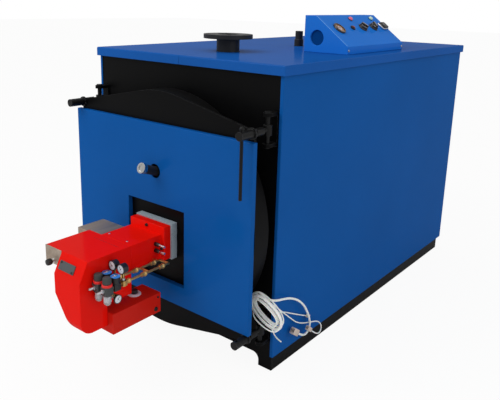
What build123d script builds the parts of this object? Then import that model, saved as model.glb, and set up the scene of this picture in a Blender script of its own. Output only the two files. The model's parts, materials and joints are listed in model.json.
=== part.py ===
from build123d import *
import math
import os

# Industrial hot-water boiler with a round swing door and a pressure-jet waste-oil burner.
# Millimetres. +Z up, the door faces -Y, x = 0 is the middle of the casing.
# "Depth" below is the distance behind the front edge of the lid; what stands before it is negative.

os.makedirs("parts", exist_ok=True)

# Casing
casing_margin = 60.0
casing_length = 1570.0
lid_top = 1078.0
sheet = 2.0
lid_lip = 33.0
lid_seam = 1.0
lid_bend = 5.0
panel_inset = 10.0
panel_return = 12.0
panel_bottom = 54.0
panel_bend = 3.0

# Underframe
rail_width = 57.0
rail_steel = 5.0
rail_gap = 5.0
rail_end_inset = 48.0
front_plate_steel = 10.0
under_clearance = 46.0
foot_width = 57.0
foot_fillet = 26.0
saddle_steel = 10.0
saddle_inset_front = 230.0
saddle_inset_back = 110.0
saddle_rise = 190.0
saddle_gap = 2.0

# Pressure vessel
door_z = 522.0
vessel_radius = 400.0
vessel_steel = 6.0
shell_front = -27.7
shell_gap = 0.3
tube_plate_depth = 120.0
tube_plate_steel = 12.0
furnace_z = 410.0
furnace_radius = 200.0
furnace_steel = 8.0
furnace_dish = 60.0
furnace_flange = 5.0
reversing_gap = 126.0
smoke_tube_radius = 28.5
smoke_tube_steel = 3.0
inner_row_radius = 265.0
inner_row_count = 5
inner_row_step = 30.0
outer_row_radius = 345.0
outer_row_count = 7
outer_row_step = 22.0

# Nozzles: pipe 88.9 mm with flange 190 mm, four 18 mm holes on 150 mm
nozzle_radius = 44.45
nozzle_wall = 3.6
nozzle_flange_radius = 95.0
nozzle_flange_steel = 16.0
nozzle_pcd_radius = 75.0
nozzle_hole_radius = 9.0
flow_depth = 272.0
flow_rise = 66.0
return_z = 205.0
return_reach = 60.0
safety_depth = 766.0
safety_rise = 66.0
safety_radius = 16.85
safety_base_radius = 20.0
safety_base_rise = 30.0
nozzle_root = 10.0
safety_wall = 3.2
lid_hole_gap = 2.0

# Smoke box and flue
smoke_box_steel = 4.0
smoke_box_bottom = 290.0
smoke_box_depth = 145.0
cover_inset = 25.0
flue_z = 640.0
flue_radius = 125.0
flue_steel = 3.0
flue_reach = 110.0

drain_x = 150.0
drain_z = 190.0
drain_radius = 16.85
drain_reach = 25.0

# Console on the lid
console_inset = 79.0
console_depth = 526.0
console_length = 484.0
console_width = 198.0
console_height = 142.0
console_ledge = 50.0
console_lip = 30.0
socket_radius = 30.0
socket_in = 58.0
socket_up = 57.0
socket_sink = 8.0
lamp_row = 27.0
dial_row = 82.0
thermometer_at = 71.0
thermometer_radius = 26.0
thermometer_height = 8.0
bezel_width = 5.0
glass_sink = 2.0
reset_at = 178.0
reset_radius = 11.0
reset_collar = 7.0
reset_crown_radius = 7.0
reset_crown = 12.0
knob_places = (266.0, 359.0)
knob_radius = 19.0
knob_height = 16.0
knob_grip_length = 32.0
knob_grip_width = 9.5
lamp_places = (232.0, 412.0)
lamp_radius = 11.0
lamp_collar = 5.0
lens_radius = 8.0
lens_height = 11.0
switch_from_end = 38.0
switch_length = 46.0
switch_width = 40.0
switch_height = 7.0
switch_corner = 3.0
rocker_width = 28.0
rocker_length = 18.0
rocker_pitch = 21.0
moulded_edge = 2.0

# Door
door_overlap = 40.0
door_front = -101.0
door_steel = 10.0
rim_back = -28.0
rim_wall = 20.0
seal_overlap = 8.0
seal_wall = 20.0
ear_inset = 35.0
ear_slope = 0.21
ear_depth = 90.0
ear_root_x = 50.0
ear_root_z = 160.0
bolt_inset = 42.0
bolt_drop = 48.0
pin_depth = -24.0
lining_clearance = 9.0
lining_taper = 12.0
lining_back = 60.0
skin_inset = 23.0
skin_bottom = 189.0
skin_top = 848.0
skin_front = -120.0
opening_size = 288.0

# Closure bolts
slot_width = 20.0
stud_radius = 7.0
sleeve_radius = 13.5
sleeve_back = -55.0
sleeve_gap = 0.3
eye_radius = 15.0
eye_height = 34.0
pin_radius = 8.0
pin_clearance = 0.05
pin_head = 4.0
pin_head_edge = 3.0
pin_rise = 56.0
lug_steel = 12.0
lug_radius = 16.0
lug_plate_steel = 6.0
nut_radius = 14.5
nut_collar_radius = 19.0
nut_collar = 6.0
nut_front = -168.0
nut_bore_radius = 10.0
nut_bore = 30.0
stud_entry = 12.0
bar_radius = 5.5
bar_depth = -155.0
bar_up = 22.0
bar_down = 204.0
bar_ball = 8.0
bar_clearance = 0.1

# Sight pipe
sight_z = 676.0
sight_angle = 20.0
sight_length = 90.0
sight_radius = 16.5
sight_wall = 4.0
sight_ring_length = 16.0
sight_ring_radius = 19.0
sight_glass = 4.0
sight_hole = 26.0
sight_root = 15.0
sight_recess = 4.0

# Burner mounting
burner_z = 433.0
gasket_width = 184.0
gasket_height = 134.0
gasket_front = -129.0
flange_width = 175.0
flange_height = 125.0
flange_front = -161.0
flange_corner = 4.0
blast_radius = 52.0
blast_wall = 3.0
blast_end = 100.0
blast_gap = 2.0

# Burner duct and hood
duct_left = -82.0
duct_right = 72.0
duct_bottom = 375.0
body_top = 466.0
body_back = -300.0
body_bottom = 292.0
hood_left = -62.0
hood_slope_start = -478.0
hood_slope_end = 400.0
burner_reach = 512.0
hood_chin = 46.0
scroll_bottom = 216.0
scroll_cheek_x = 20.0
scroll_cheek_z = 330.0
wing_left = -150.0
wing_bottom = 418.0
wing_front = -478.0
ignition_left = -222.0
ignition_back = -180.0
ignition_bottom = 398.0
ignition_drop = 10.0
hood_plate_x = -9.0
hood_plate_down = 41.0
hood_plate_width = 78.0
hood_plate_height = 30.0
hood_plate_steel = 3.0
hood_plate_corner = 3.0
drive_plate_steel = 3.0
drive_plate_bottom = 408.0
damper_x = -105.0
damper_z = 421.0
damper_radius = 11.0
damper_neck_radius = 5.5
damper_neck = 9.0
damper_length = 20.0

# Burner oil tank
tank_left = 2.0
tank_right = 98.0
tank_back = -190.0
tank_front = -405.0
tank_bottom = 190.0
tank_top = 264.0
cap_x = 40.0
cap_depth = -262.0
cap_ring_radius = 24.0
cap_ring = 6.0
cap_radius = 13.0
cap_height = 18.0

# Burner fittings: two like lines beside the hood, inner and outer
line_places = (90.0, 132.0)
line_z = 383.0
regulator_depth = -452.0
regulator_block = 30.0
regulator_steps = ((-53.0, -17.0, 13.0), (13.0, 19.0, 17.0), (19.0, 43.0, 14.5))
regulator_block_down = 17.0
regulator_block_up = 13.0
barb_radius = 4.5
barb_length = 24.0
barb_ridge = 6.0
barb_ridge_height = 1.0
barb_ridge_taper = 8.0
valve_depth = -418.0
valve_block = 22.0
valve_steps = ((11.0, 33.0, 14.0), (33.0, 36.0, 16.0), (36.0, 39.0, 4.0))
gauge_depth = -386.0
gauge_block = 18.0
gauge_up = 50.0
gauge_radius = 17.0
gauge_length = 22.0
gauge_rim = 2.0
gauge_sink = 2.0
gauge_stem_radius = 4.0
low_gauge_drop = 42.0
low_gauge_radius = 15.0
low_gauge_length = 26.0
pipe_radius = 4.0
nut_places = (-366.0, -296.0, -214.0)
pipe_nut_radius = 7.5
pipe_nut_length = 14.0
cross_depth = -276.0
turn_depth = -184.0
inlet_depth = -200.0
inlet_radius = 6.0
lead_in_depth = -190.0
lead_in_levels = (416.0, 440.0)
lead_in_radius = 7.0
lead_in_length = 22.0
lead_pin_radius = 4.5
lead_pin_length = 26.0

# White leads
coil_x = 459.0
coil_depth = -50.0
coil_drop = 38.6
coil_half_length = 62.0
coil_half_height = 32.0
coil_tilt = -28.0
coil_section = 15.0
coil_thick = 20.0
gland_inset = 60.0
gland_z = 262.0
gland_radius = 12.0
gland_base = 8.0
gland_neck_radius = 7.0
gland_taper = 3.0
thick_lead = 8.0
thin_lead = 4.5
plug_length = 34.0
plug_width = 20.0
plug_height = 24.0
small_plug_length = 28.0
small_plug_width = 15.0
small_plug_height = 16.0
end_plug_length = 18.0
end_plug_width = 10.0
end_plug_height = 12.0
plug_corner = 2.0
arc_share = 0.45

# Worked out from the sizes above
half = vessel_radius + casing_margin
front_y = (burner_reach - flue_reach - casing_length) / 2
lid_under = lid_top - sheet
panel_out = half - panel_inset
panel_in = panel_out - sheet
panel_front = panel_inset
panel_back = casing_length - panel_inset
smoke_box_cover = casing_length - cover_inset
vessel_end = smoke_box_cover - smoke_box_depth
rear_plate_front = vessel_end - tube_plate_steel
furnace_front = tube_plate_depth + tube_plate_steel
furnace_length = rear_plate_front - furnace_front - reversing_gap
saddle_depths = (saddle_inset_front, vessel_end - saddle_inset_back)
plate_front = panel_front + sheet
plate_back = plate_front + front_plate_steel
rail_out = panel_out - rail_gap
opening_radius = vessel_radius - vessel_steel
door_radius = vessel_radius + door_overlap
seal_radius = vessel_radius + seal_overlap
lining_radius = opening_radius - lining_clearance
ear_end = half - ear_inset
ear_inner_z = vessel_radius - ear_depth
ear_root = (vessel_radius - ear_root_x, vessel_radius - ear_root_z)
bolt_x = half - bolt_inset
bolt_rise = vessel_radius - bolt_drop
skin_width = 2 * (half - skin_inset)
gland_x = half - gland_inset
console_x = half - console_inset - console_width
door_back = door_front + door_steel
bolt_levels = (door_z - bolt_rise, door_z + bolt_rise)
lid_pipe_hole = nozzle_radius + lid_hole_gap
lid_nipple_hole = safety_base_radius + lid_hole_gap
coil_z = bolt_levels[0] + pin_rise + coil_drop


def facing(depth):
    """Upright plane across the boiler at a depth; its normal points to the front."""
    return Plane.XZ.offset(-(front_y + depth))


def write(part, name):
    part.label = name
    export_step(part, f"parts/{name}.step")


def ring_pipe(plane, centre, outer, wall, length):
    """Round pipe that stands on a plane."""
    with BuildPart() as pipe:
        with BuildSketch(plane):
            with Locations(centre):
                Circle(outer)
                Circle(outer - wall, mode=Mode.SUBTRACT)
        extrude(amount=length)
    return pipe.part


# Side panels: folded sheets with a return at the front, the back and the bottom
panel_height = lid_under - panel_bottom
panel_run = panel_back - panel_front
return_middle = (plate_back + panel_back) / 2 - sheet
for side, name in ((-1, "side_panel_left"), (1, "side_panel_right")):
    with BuildPart() as side_panel:
        with BuildSketch(Plane.XY.offset(panel_bottom)):
            with Locations((side * (panel_out - sheet / 2), front_y + panel_front + panel_run / 2)):
                Rectangle(sheet, panel_run)
            for depth in (panel_front + sheet / 2, panel_back - sheet / 2):
                with Locations((side * (panel_out - panel_return / 2), front_y + depth)):
                    Rectangle(panel_return, sheet)
        extrude(amount=panel_height)
        with BuildSketch(Plane.XY.offset(panel_bottom)):
            with Locations((side * (panel_out - panel_return / 2), front_y + return_middle)):
                Rectangle(panel_return, panel_back - plate_back - 2 * sheet)
        extrude(amount=sheet)
        outer_edges = side_panel.edges().filter_by(Axis.Z).group_by(Axis.X)[-1 if side > 0 else 0]
        fillet(outer_edges, panel_bend)
    write(side_panel.part, name)

# Lid: two halves that meet over the nozzles
half_lid_width = half - lid_seam / 2
for side, name in ((-1, "top_panel_left"), (1, "top_panel_right")):
    middle_x = side * (lid_seam / 2 + half_lid_width / 2)
    with BuildPart() as top_panel:
        with BuildSketch(Plane.XY.offset(lid_top - lid_lip)):
            with Locations((middle_x, front_y + casing_length / 2)):
                Rectangle(half_lid_width, casing_length)
        extrude(amount=lid_lip)
        outer_corners = top_panel.edges().filter_by(Axis.Z).group_by(Axis.X)[-1 if side > 0 else 0]
        fillet(outer_corners, lid_bend)
        seam_edge = top_panel.faces().sort_by(Axis.Z)[-1].edges().sort_by(Axis.X)[0 if side > 0 else -1]
        top_edges = top_panel.faces().sort_by(Axis.Z)[-1].edges() - [seam_edge]
        fillet(top_edges, lid_bend)
        with BuildSketch(Plane.XY.offset(lid_top - lid_lip)):
            with Locations((side * (half_lid_width - sheet) / 2, front_y + casing_length / 2)):
                Rectangle(half_lid_width - sheet + lid_seam, casing_length - 2 * sheet)
        extrude(amount=lid_lip - sheet, mode=Mode.SUBTRACT)
        with BuildSketch(Plane.XY.offset(lid_top - lid_lip)):
            with Locations((0, front_y + flow_depth)):
                Circle(lid_pipe_hole)
            with Locations((0, front_y + safety_depth)):
                Circle(lid_nipple_hole)
        extrude(amount=lid_lip, mode=Mode.SUBTRACT)
    write(top_panel.part, name)

# Back panel between the side panels, with holes for the flue, the return and the drain
with BuildPart() as back_panel:
    with BuildSketch(facing(panel_back - sheet)):
        with Locations((0, (panel_bottom + lid_under) / 2)):
            Rectangle(2 * rail_out, panel_height)
        with Locations((0, flue_z)):
            Circle(flue_radius + lid_hole_gap, mode=Mode.SUBTRACT)
        with Locations((0, return_z)):
            Circle(lid_pipe_hole, mode=Mode.SUBTRACT)
        with Locations((drain_x, drain_z)):
            Circle(drain_radius + lid_hole_gap, mode=Mode.SUBTRACT)
    extrude(amount=sheet)
write(back_panel.part, "back_panel")

# Front plate: sheet steel with a foot at each side and the opening that the vessel stands through
with BuildPart() as front_plate:
    with BuildSketch(facing(plate_back)):
        with BuildLine():
            foot_in = rail_out - foot_width
            Polyline(
                (-rail_out, 0),
                (-foot_in, 0),
                (-foot_in, under_clearance),
                (foot_in, under_clearance),
                (foot_in, 0),
                (rail_out, 0),
                (rail_out, lid_under),
                (-rail_out, lid_under),
                close=True,
            )
        make_face()
        with Locations((0, door_z)):
            Circle(vessel_radius + shell_gap, mode=Mode.SUBTRACT)
    extrude(amount=front_plate_steel)
    inner_corners = front_plate.edges().filter_by(Axis.Y).group_by(Axis.Z)[1]
    fillet(inner_corners, foot_fillet)
write(front_plate.part, "front_plate")

# Base rails: channels that open inwards
rail_front = plate_back
rail_run = casing_length - rail_end_inset - rail_front
for side, name in ((-1, "base_rail_left"), (1, "base_rail_right")):
    with BuildPart() as base_rail:
        with BuildSketch(facing(rail_front + rail_run)):
            with Locations((side * (rail_out - rail_width / 2), panel_bottom / 2)):
                Rectangle(rail_width, panel_bottom)
            with Locations((side * (rail_out - rail_width / 2 - rail_steel), panel_bottom / 2)):
                Rectangle(rail_width, panel_bottom - 2 * rail_steel, mode=Mode.SUBTRACT)
        extrude(amount=rail_run)
    write(base_rail.part, name)

# Saddles that carry the vessel on the rails
with BuildPart() as vessel_saddles:
    for depth in saddle_depths:
        with BuildSketch(facing(depth)):
            with Locations((0, panel_bottom + saddle_rise / 2)):
                Rectangle(2 * (panel_out - panel_return - saddle_gap), saddle_rise)
            with Locations((0, door_z)):
                Circle(vessel_radius, mode=Mode.SUBTRACT)
        extrude(amount=saddle_steel)
write(vessel_saddles.part, "vessel_saddles")

# Vessel shell of four rolled plates, open at the front, where its edge stands before the front plate
# and the door closes on it. The top and bottom plates are one file, the two side plates another.
plate_corner = vessel_radius
for name, directions in (
    ("vessel_shell", ((0, 1), (0, -1))),
    ("vessel_shell_sides", ((1, 0), (-1, 0))),
):
    with BuildPart() as vessel_shell:
        with BuildSketch(facing(vessel_end)):
            for across, up in directions:
                with BuildLine():
                    Polyline(
                        (0, door_z),
                        (plate_corner * (across - up), door_z + plate_corner * (across + up)),
                        (plate_corner * (across + up), door_z + plate_corner * (up - across)),
                        close=True,
                    )
                make_face()
            with Locations((0, door_z)):
                Circle(vessel_radius, mode=Mode.INTERSECT)
                Circle(opening_radius, mode=Mode.SUBTRACT)
        extrude(amount=vessel_end - shell_front)
        with BuildSketch(Plane.XY.offset(door_z)):
            with Locations((0, front_y + flow_depth)):
                Circle(nozzle_radius - nozzle_wall)
            with Locations((0, front_y + safety_depth)):
                Circle(safety_radius - safety_wall)
        extrude(amount=vessel_radius + vessel_steel, mode=Mode.SUBTRACT)
    write(vessel_shell.part, name)

# Places of the smoke tubes: two arcs round the furnace
tube_centres = []
for row_radius, count, step in (
    (inner_row_radius, inner_row_count, inner_row_step),
    (outer_row_radius, outer_row_count, outer_row_step),
):
    for index in range(count):
        angle = math.radians((index - (count - 1) / 2) * step)
        tube_centres.append((row_radius * math.sin(angle), furnace_z + row_radius * math.cos(angle)))

# Front tube plate
with BuildPart() as front_tube_plate:
    with BuildSketch(facing(tube_plate_depth + tube_plate_steel)):
        with Locations((0, door_z)):
            Circle(opening_radius)
        with Locations((0, furnace_z)):
            Circle(furnace_radius - furnace_steel, mode=Mode.SUBTRACT)
        with Locations(*tube_centres):
            Circle(smoke_tube_radius - smoke_tube_steel, mode=Mode.SUBTRACT)
    extrude(amount=tube_plate_steel)
write(front_tube_plate.part, "front_tube_plate")

# Furnace: a tube of four rolled plates with a dished closed end
furnace_bend = furnace_front + furnace_length - furnace_dish - furnace_flange
furnace_pieces = []
for across, up in ((0, 1), (1, 0), (0, -1), (-1, 0)):
    with BuildPart() as furnace_wall:
        with BuildSketch(facing(furnace_bend)):
            with BuildLine():
                Polyline(
                    (0, furnace_z),
                    (furnace_radius * (across - up), furnace_z + furnace_radius * (across + up)),
                    (furnace_radius * (across + up), furnace_z + furnace_radius * (up - across)),
                    close=True,
                )
            make_face()
            with Locations((0, furnace_z)):
                Circle(furnace_radius, mode=Mode.INTERSECT)
                Circle(furnace_radius - furnace_steel, mode=Mode.SUBTRACT)
        extrude(amount=furnace_bend - furnace_front)
    furnace_pieces.append(furnace_wall.part)
with BuildPart() as furnace_dome:
    with BuildSketch(facing(furnace_front + furnace_length)):
        with Locations((0, furnace_z)):
            Circle(furnace_radius)
    extrude(amount=furnace_dish + furnace_flange)
    back_rim = furnace_dome.faces().sort_by(Axis.Y)[-1].edges()
    fillet(back_rim, furnace_dish)
    front_face = furnace_dome.faces().sort_by(Axis.Y)[0]
    offset(amount=-furnace_steel, openings=front_face)
furnace_pieces.append(furnace_dome.part)
write(Compound(children=furnace_pieces), "furnace_tube")

# Smoke tubes between the two tube plates
with BuildPart() as smoke_tubes:
    with BuildSketch(facing(rear_plate_front)):
        with Locations(*tube_centres):
            Circle(smoke_tube_radius)
            Circle(smoke_tube_radius - smoke_tube_steel, mode=Mode.SUBTRACT)
    extrude(amount=rear_plate_front - furnace_front)
write(smoke_tubes.part, "smoke_tubes")

# Rear tube plate
with BuildPart() as rear_tube_plate:
    with BuildSketch(facing(vessel_end)):
        with Locations((0, door_z)):
            Circle(opening_radius)
        with Locations(*tube_centres):
            Circle(smoke_tube_radius - smoke_tube_steel, mode=Mode.SUBTRACT)
        with Locations((0, return_z)):
            Circle(nozzle_radius - nozzle_wall, mode=Mode.SUBTRACT)
    extrude(amount=tube_plate_steel)
write(rear_tube_plate.part, "rear_tube_plate")

# Smoke box with the flue spigot
with BuildPart() as smoke_box:
    with BuildSketch(facing(smoke_box_cover)):
        with Locations((0, door_z)):
            Circle(vessel_radius)
        with Locations((0, smoke_box_bottom - vessel_radius)):
            Rectangle(2 * vessel_radius, 2 * vessel_radius, mode=Mode.SUBTRACT)
    extrude(amount=smoke_box_cover - vessel_end)
    offset(amount=-smoke_box_steel, openings=smoke_box.faces().sort_by(Axis.Y)[0])
    with BuildSketch(facing(casing_length + flue_reach)):
        with Locations((0, flue_z)):
            Circle(flue_radius)
    extrude(amount=casing_length + flue_reach - smoke_box_cover)
    with BuildSketch(facing(casing_length + flue_reach)):
        with Locations((0, flue_z)):
            Circle(flue_radius - flue_steel)
    extrude(amount=casing_length + flue_reach - smoke_box_cover + smoke_box_steel, mode=Mode.SUBTRACT)
write(smoke_box.part, "smoke_box")

# Flow nozzle on top of the vessel
flow_top = lid_top + flow_rise
nozzle_start = door_z + vessel_radius - nozzle_root
with BuildPart() as flow_nozzle:
    with BuildSketch(Plane.XY.offset(flow_top - nozzle_flange_steel)):
        with Locations((0, front_y + flow_depth)):
            Circle(nozzle_flange_radius)
            with PolarLocations(nozzle_pcd_radius, 4, start_angle=45):
                Circle(nozzle_hole_radius, mode=Mode.SUBTRACT)
    extrude(amount=nozzle_flange_steel)
    with BuildSketch(Plane.XY.offset(nozzle_start)):
        with Locations((0, front_y + flow_depth)):
            Circle(nozzle_radius)
    extrude(amount=flow_top - nozzle_start - nozzle_flange_steel)
    with BuildSketch(Plane.XY.offset(flow_top)):
        with Locations((0, front_y + flow_depth)):
            Circle(nozzle_radius - nozzle_wall)
    extrude(amount=-(flow_top - door_z), mode=Mode.SUBTRACT)
    with BuildSketch(facing(vessel_end)):
        with Locations((0, door_z)):
            Circle(vessel_radius)
    extrude(amount=vessel_end, mode=Mode.SUBTRACT)
write(flow_nozzle.part, "flow_nozzle")

# Return nozzle low on the back
return_end = casing_length + return_reach
with BuildPart() as return_nozzle:
    with BuildSketch(facing(return_end)):
        with Locations((0, return_z)):
            Circle(nozzle_flange_radius)
            with PolarLocations(nozzle_pcd_radius, 4, start_angle=45):
                Circle(nozzle_hole_radius, mode=Mode.SUBTRACT)
    extrude(amount=nozzle_flange_steel)
    with BuildSketch(facing(return_end)):
        with Locations((0, return_z)):
            Circle(nozzle_radius)
    extrude(amount=return_end - vessel_end)
    with BuildSketch(facing(return_end)):
        with Locations((0, return_z)):
            Circle(nozzle_radius - nozzle_wall)
    extrude(amount=return_end - vessel_end, mode=Mode.SUBTRACT)
write(return_nozzle.part, "return_nozzle")

# Small safety nipple further back on the lid: a socket with a thinner end
safety_top = lid_top + safety_rise
with BuildPart() as safety_nipple:
    for radius, top in ((safety_base_radius, lid_top + safety_base_rise), (safety_radius, safety_top)):
        with BuildSketch(Plane.XY.offset(nozzle_start)):
            with Locations((0, front_y + safety_depth)):
                Circle(radius)
        extrude(amount=top - nozzle_start)
    with BuildSketch(Plane.XY.offset(safety_top)):
        with Locations((0, front_y + safety_depth)):
            Circle(safety_radius - safety_wall)
    extrude(amount=-(safety_top - door_z), mode=Mode.SUBTRACT)
    with BuildSketch(facing(vessel_end)):
        with Locations((0, door_z)):
            Circle(vessel_radius)
    extrude(amount=vessel_end, mode=Mode.SUBTRACT)
write(safety_nipple.part, "safety_nipple")

# Drain nipple
write(
    ring_pipe(facing(casing_length + drain_reach), (drain_x, drain_z), drain_radius, safety_wall,
              casing_length + drain_reach - vessel_end),
    "drain_nipple",
)

# Console housing on the lid
slope_run = console_width - console_ledge
slope_drop = console_height - console_lip
slope_length = math.hypot(slope_run, slope_drop)
with BuildPart() as console_housing:
    with BuildSketch(facing(console_depth + console_length)):
        with BuildLine():
            Polyline(
                (console_x, lid_top),
                (console_x, lid_top + console_height),
                (console_x + console_ledge, lid_top + console_height),
                (console_x + console_width, lid_top + console_lip),
                (console_x + console_width, lid_top),
                close=True,
            )
        make_face()
    extrude(amount=console_length)
    with BuildSketch(facing(console_depth)):
        with Locations((console_x + socket_in, lid_top + socket_up)):
            Circle(socket_radius)
    extrude(amount=-socket_sink, mode=Mode.SUBTRACT)
write(console_housing.part, "console_housing")

# Plane of the sloped instrument face: x runs down the slope, y to the back
slope = Plane(
    origin=(console_x + console_ledge, front_y + console_depth, lid_top + console_height),
    x_dir=(slope_run, 0, -slope_drop),
    z_dir=(slope_drop, 0, slope_run),
)

# Thermometer: a round bezel with a sunk glass
with BuildPart() as thermometer:
    with BuildSketch(slope):
        with Locations((dial_row, thermometer_at)):
            Circle(thermometer_radius)
    extrude(amount=thermometer_height)
    fillet(thermometer.edges().filter_by(GeomType.CIRCLE).sort_by(Axis.Z)[-1], moulded_edge)
    with BuildSketch(slope.offset(thermometer_height)):
        with Locations((dial_row, thermometer_at)):
            Circle(thermometer_radius - bezel_width)
    extrude(amount=-glass_sink, mode=Mode.SUBTRACT)
write(thermometer.part, "thermometer")

# Signal lamps: a collar with a lower lens
with BuildPart() as signal_lamps:
    for along in lamp_places:
        for radius, height in ((lamp_radius, lamp_collar), (lens_radius, lens_height)):
            with BuildSketch(slope):
                with Locations((lamp_row, along)):
                    Circle(radius)
            extrude(amount=height)
write(signal_lamps.part, "signal_lamps")

# Reset button: a ribbed cap with a smaller crown
with BuildPart() as reset_button:
    for radius, height in ((reset_radius, reset_collar), (reset_crown_radius, reset_crown)):
        with BuildSketch(slope):
            with Locations((dial_row, reset_at)):
                Circle(radius)
        extrude(amount=height)
write(reset_button.part, "reset_button")

# Thermostat knobs: a disc with a grip bar across it
with BuildPart() as thermostat_knobs:
    for along in knob_places:
        with BuildSketch(slope):
            with Locations((dial_row, along)):
                Circle(knob_radius)
        extrude(amount=knob_height / 2)
        with BuildSketch(slope.offset(knob_height / 2)):
            with Locations((dial_row, along)):
                Rectangle(knob_grip_length, knob_grip_width)
        extrude(amount=knob_height / 2)
write(thermostat_knobs.part, "thermostat_knobs")

# Main switch: a flat frame with two rocker caps
switch_at = console_length - switch_from_end
with BuildPart() as main_switch:
    with BuildSketch(slope):
        with Locations((dial_row, switch_at)):
            RectangleRounded(switch_width, switch_length, switch_corner)
    extrude(amount=switch_height / 2)
    with BuildSketch(slope.offset(switch_height / 2)):
        with Locations((dial_row, switch_at)):
            with GridLocations(0, rocker_pitch, 1, 2):
                RectangleRounded(rocker_width, rocker_length, moulded_edge)
    extrude(amount=switch_height / 2)
write(main_switch.part, "main_switch")

# Lugs for the closure bolts: two cheeks on a back plate at each corner
corners = [(side, level) for side in (-1, 1) for level in bolt_levels]
pin_reach = plate_front - lug_plate_steel - pin_depth
with BuildPart() as bolt_lugs:
    for side, level in corners:
        with BuildSketch(facing(plate_front)):
            with Locations((side * bolt_x, level)):
                Rectangle(2 * lug_radius, 2 * pin_rise)
        extrude(amount=lug_plate_steel)
        for cheek in (-pin_rise, pin_rise - lug_steel):
            with BuildSketch(Plane.XY.offset(level + cheek)):
                with Locations((side * bolt_x, front_y + pin_depth)):
                    Circle(lug_radius)
                with Locations((side * bolt_x, front_y + pin_depth + pin_reach / 2)):
                    Rectangle(2 * lug_radius, pin_reach)
                with Locations((side * bolt_x, front_y + pin_depth)):
                    Circle(pin_radius + pin_clearance, mode=Mode.SUBTRACT)
            extrude(amount=lug_steel)
write(bolt_lugs.part, "bolt_lugs")

# Hinge pins with a head at the top
with BuildPart() as bolt_pins:
    for side, level in corners:
        with BuildSketch(Plane.XY.offset(level - pin_rise - pin_head)):
            with Locations((side * bolt_x, front_y + pin_depth)):
                Circle(pin_radius)
        extrude(amount=2 * (pin_rise + pin_head))
        with BuildSketch(Plane.XY.offset(level + pin_rise)):
            with Locations((side * bolt_x, front_y + pin_depth)):
                Circle(pin_radius + pin_head_edge)
        extrude(amount=pin_head)
write(bolt_pins.part, "bolt_pins")

# Eye bolts: an eye on the pin, a link, a sleeve behind the ear and a stud through its slot
stud_tip = door_front - nut_collar - stud_entry
sleeve_front = door_back + sleeve_gap
for side, name in ((-1, "eye_bolts_left"), (1, "eye_bolts_right")):
    with BuildPart() as eye_bolts:
        for level in bolt_levels:
            with BuildSketch(Plane.XY.offset(level - eye_height / 2)):
                with Locations((side * bolt_x, front_y + pin_depth)):
                    Circle(eye_radius)
            extrude(amount=eye_height)
            with BuildSketch(facing(pin_depth)):
                with Locations((side * bolt_x, level)):
                    Circle(stud_radius)
            extrude(amount=pin_depth - stud_tip)
            with BuildSketch(facing(sleeve_back)):
                with Locations((side * bolt_x, level)):
                    Circle(sleeve_radius)
            extrude(amount=sleeve_back - sleeve_front)
            with BuildSketch(Plane.XY.offset(level - eye_height / 2)):
                with Locations((side * bolt_x, front_y + pin_depth)):
                    Circle(pin_radius + pin_clearance)
            extrude(amount=eye_height, mode=Mode.SUBTRACT)
    write(eye_bolts.part, name)

# Sleeve nuts in front of the ears, with a cross hole for the tommy bar
with BuildPart() as sleeve_nuts:
    for side, level in corners:
        with BuildSketch(facing(door_front)):
            with Locations((side * bolt_x, level)):
                Circle(nut_collar_radius)
        extrude(amount=nut_collar)
        with BuildSketch(facing(door_front)):
            with Locations((side * bolt_x, level)):
                Circle(nut_radius)
        extrude(amount=door_front - nut_front)
        with BuildSketch(facing(door_front)):
            with Locations((side * bolt_x, level)):
                Circle(nut_bore_radius)
        extrude(amount=nut_bore, mode=Mode.SUBTRACT)
        with BuildSketch(Plane.XY.offset(level - nut_radius)):
            with Locations((side * bolt_x, front_y + bar_depth)):
                Circle(bar_radius + bar_clearance)
        extrude(amount=2 * nut_radius, mode=Mode.SUBTRACT)
write(sleeve_nuts.part, "sleeve_nuts")

# Tommy bar through the upper right nut
bar_level = bolt_levels[1]
with BuildPart() as tommy_bar:
    with BuildSketch(Plane.XY.offset(bar_level - bar_down)):
        with Locations((bolt_x, front_y + bar_depth)):
            Circle(bar_radius)
    extrude(amount=bar_down + bar_up)
    with Locations((bolt_x, front_y + bar_depth, bar_level + bar_up)):
        Sphere(bar_ball)
write(tommy_bar.part, "tommy_bar")

# Door: a dished disc with four slotted ears and an inner ring that closes on the edge of the vessel
tangent = math.atan(ear_slope)
touch_x = door_radius * math.sin(tangent)
touch_z = door_radius * math.cos(tangent)
ear_tip_z = touch_z - ear_slope * (ear_end - touch_x)
blast_hole = blast_radius + blast_gap
sight_start = sight_z - (door_front - skin_front) * math.tan(math.radians(sight_angle))
with BuildPart() as door_plate:
    with BuildSketch(facing(door_back)):
        with Locations((0, door_z)):
            Circle(door_radius)
        for side in (-1, 1):
            for lift in (-1, 1):
                with BuildLine():
                    Polyline(
                        (0, door_z),
                        (side * touch_x, door_z + lift * touch_z),
                        (side * ear_end, door_z + lift * ear_tip_z),
                        (side * ear_end, door_z + lift * ear_inner_z),
                        (side * ear_root[0], door_z + lift * ear_root[1]),
                        close=True,
                    )
                make_face()
        for side, level in corners:
            with Locations((side * (bolt_x + slot_width / 2), level)):
                Rectangle(slot_width, slot_width, mode=Mode.SUBTRACT)
            with Locations((side * bolt_x, level)):
                Circle(slot_width / 2, mode=Mode.SUBTRACT)
        with Locations((0, burner_z)):
            Circle(blast_hole, mode=Mode.SUBTRACT)
        with Locations((0, sight_start)):
            Circle(sight_radius - sight_wall, mode=Mode.SUBTRACT)
    extrude(amount=door_steel)
    with BuildSketch(facing(rim_back)):
        with Locations((0, door_z)):
            Circle(door_radius)
            Circle(door_radius - rim_wall, mode=Mode.SUBTRACT)
            Circle(seal_radius)
            Circle(seal_radius - seal_wall, mode=Mode.SUBTRACT)
    extrude(amount=rim_back - door_back)
write(door_plate.part, "door_plate")

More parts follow.
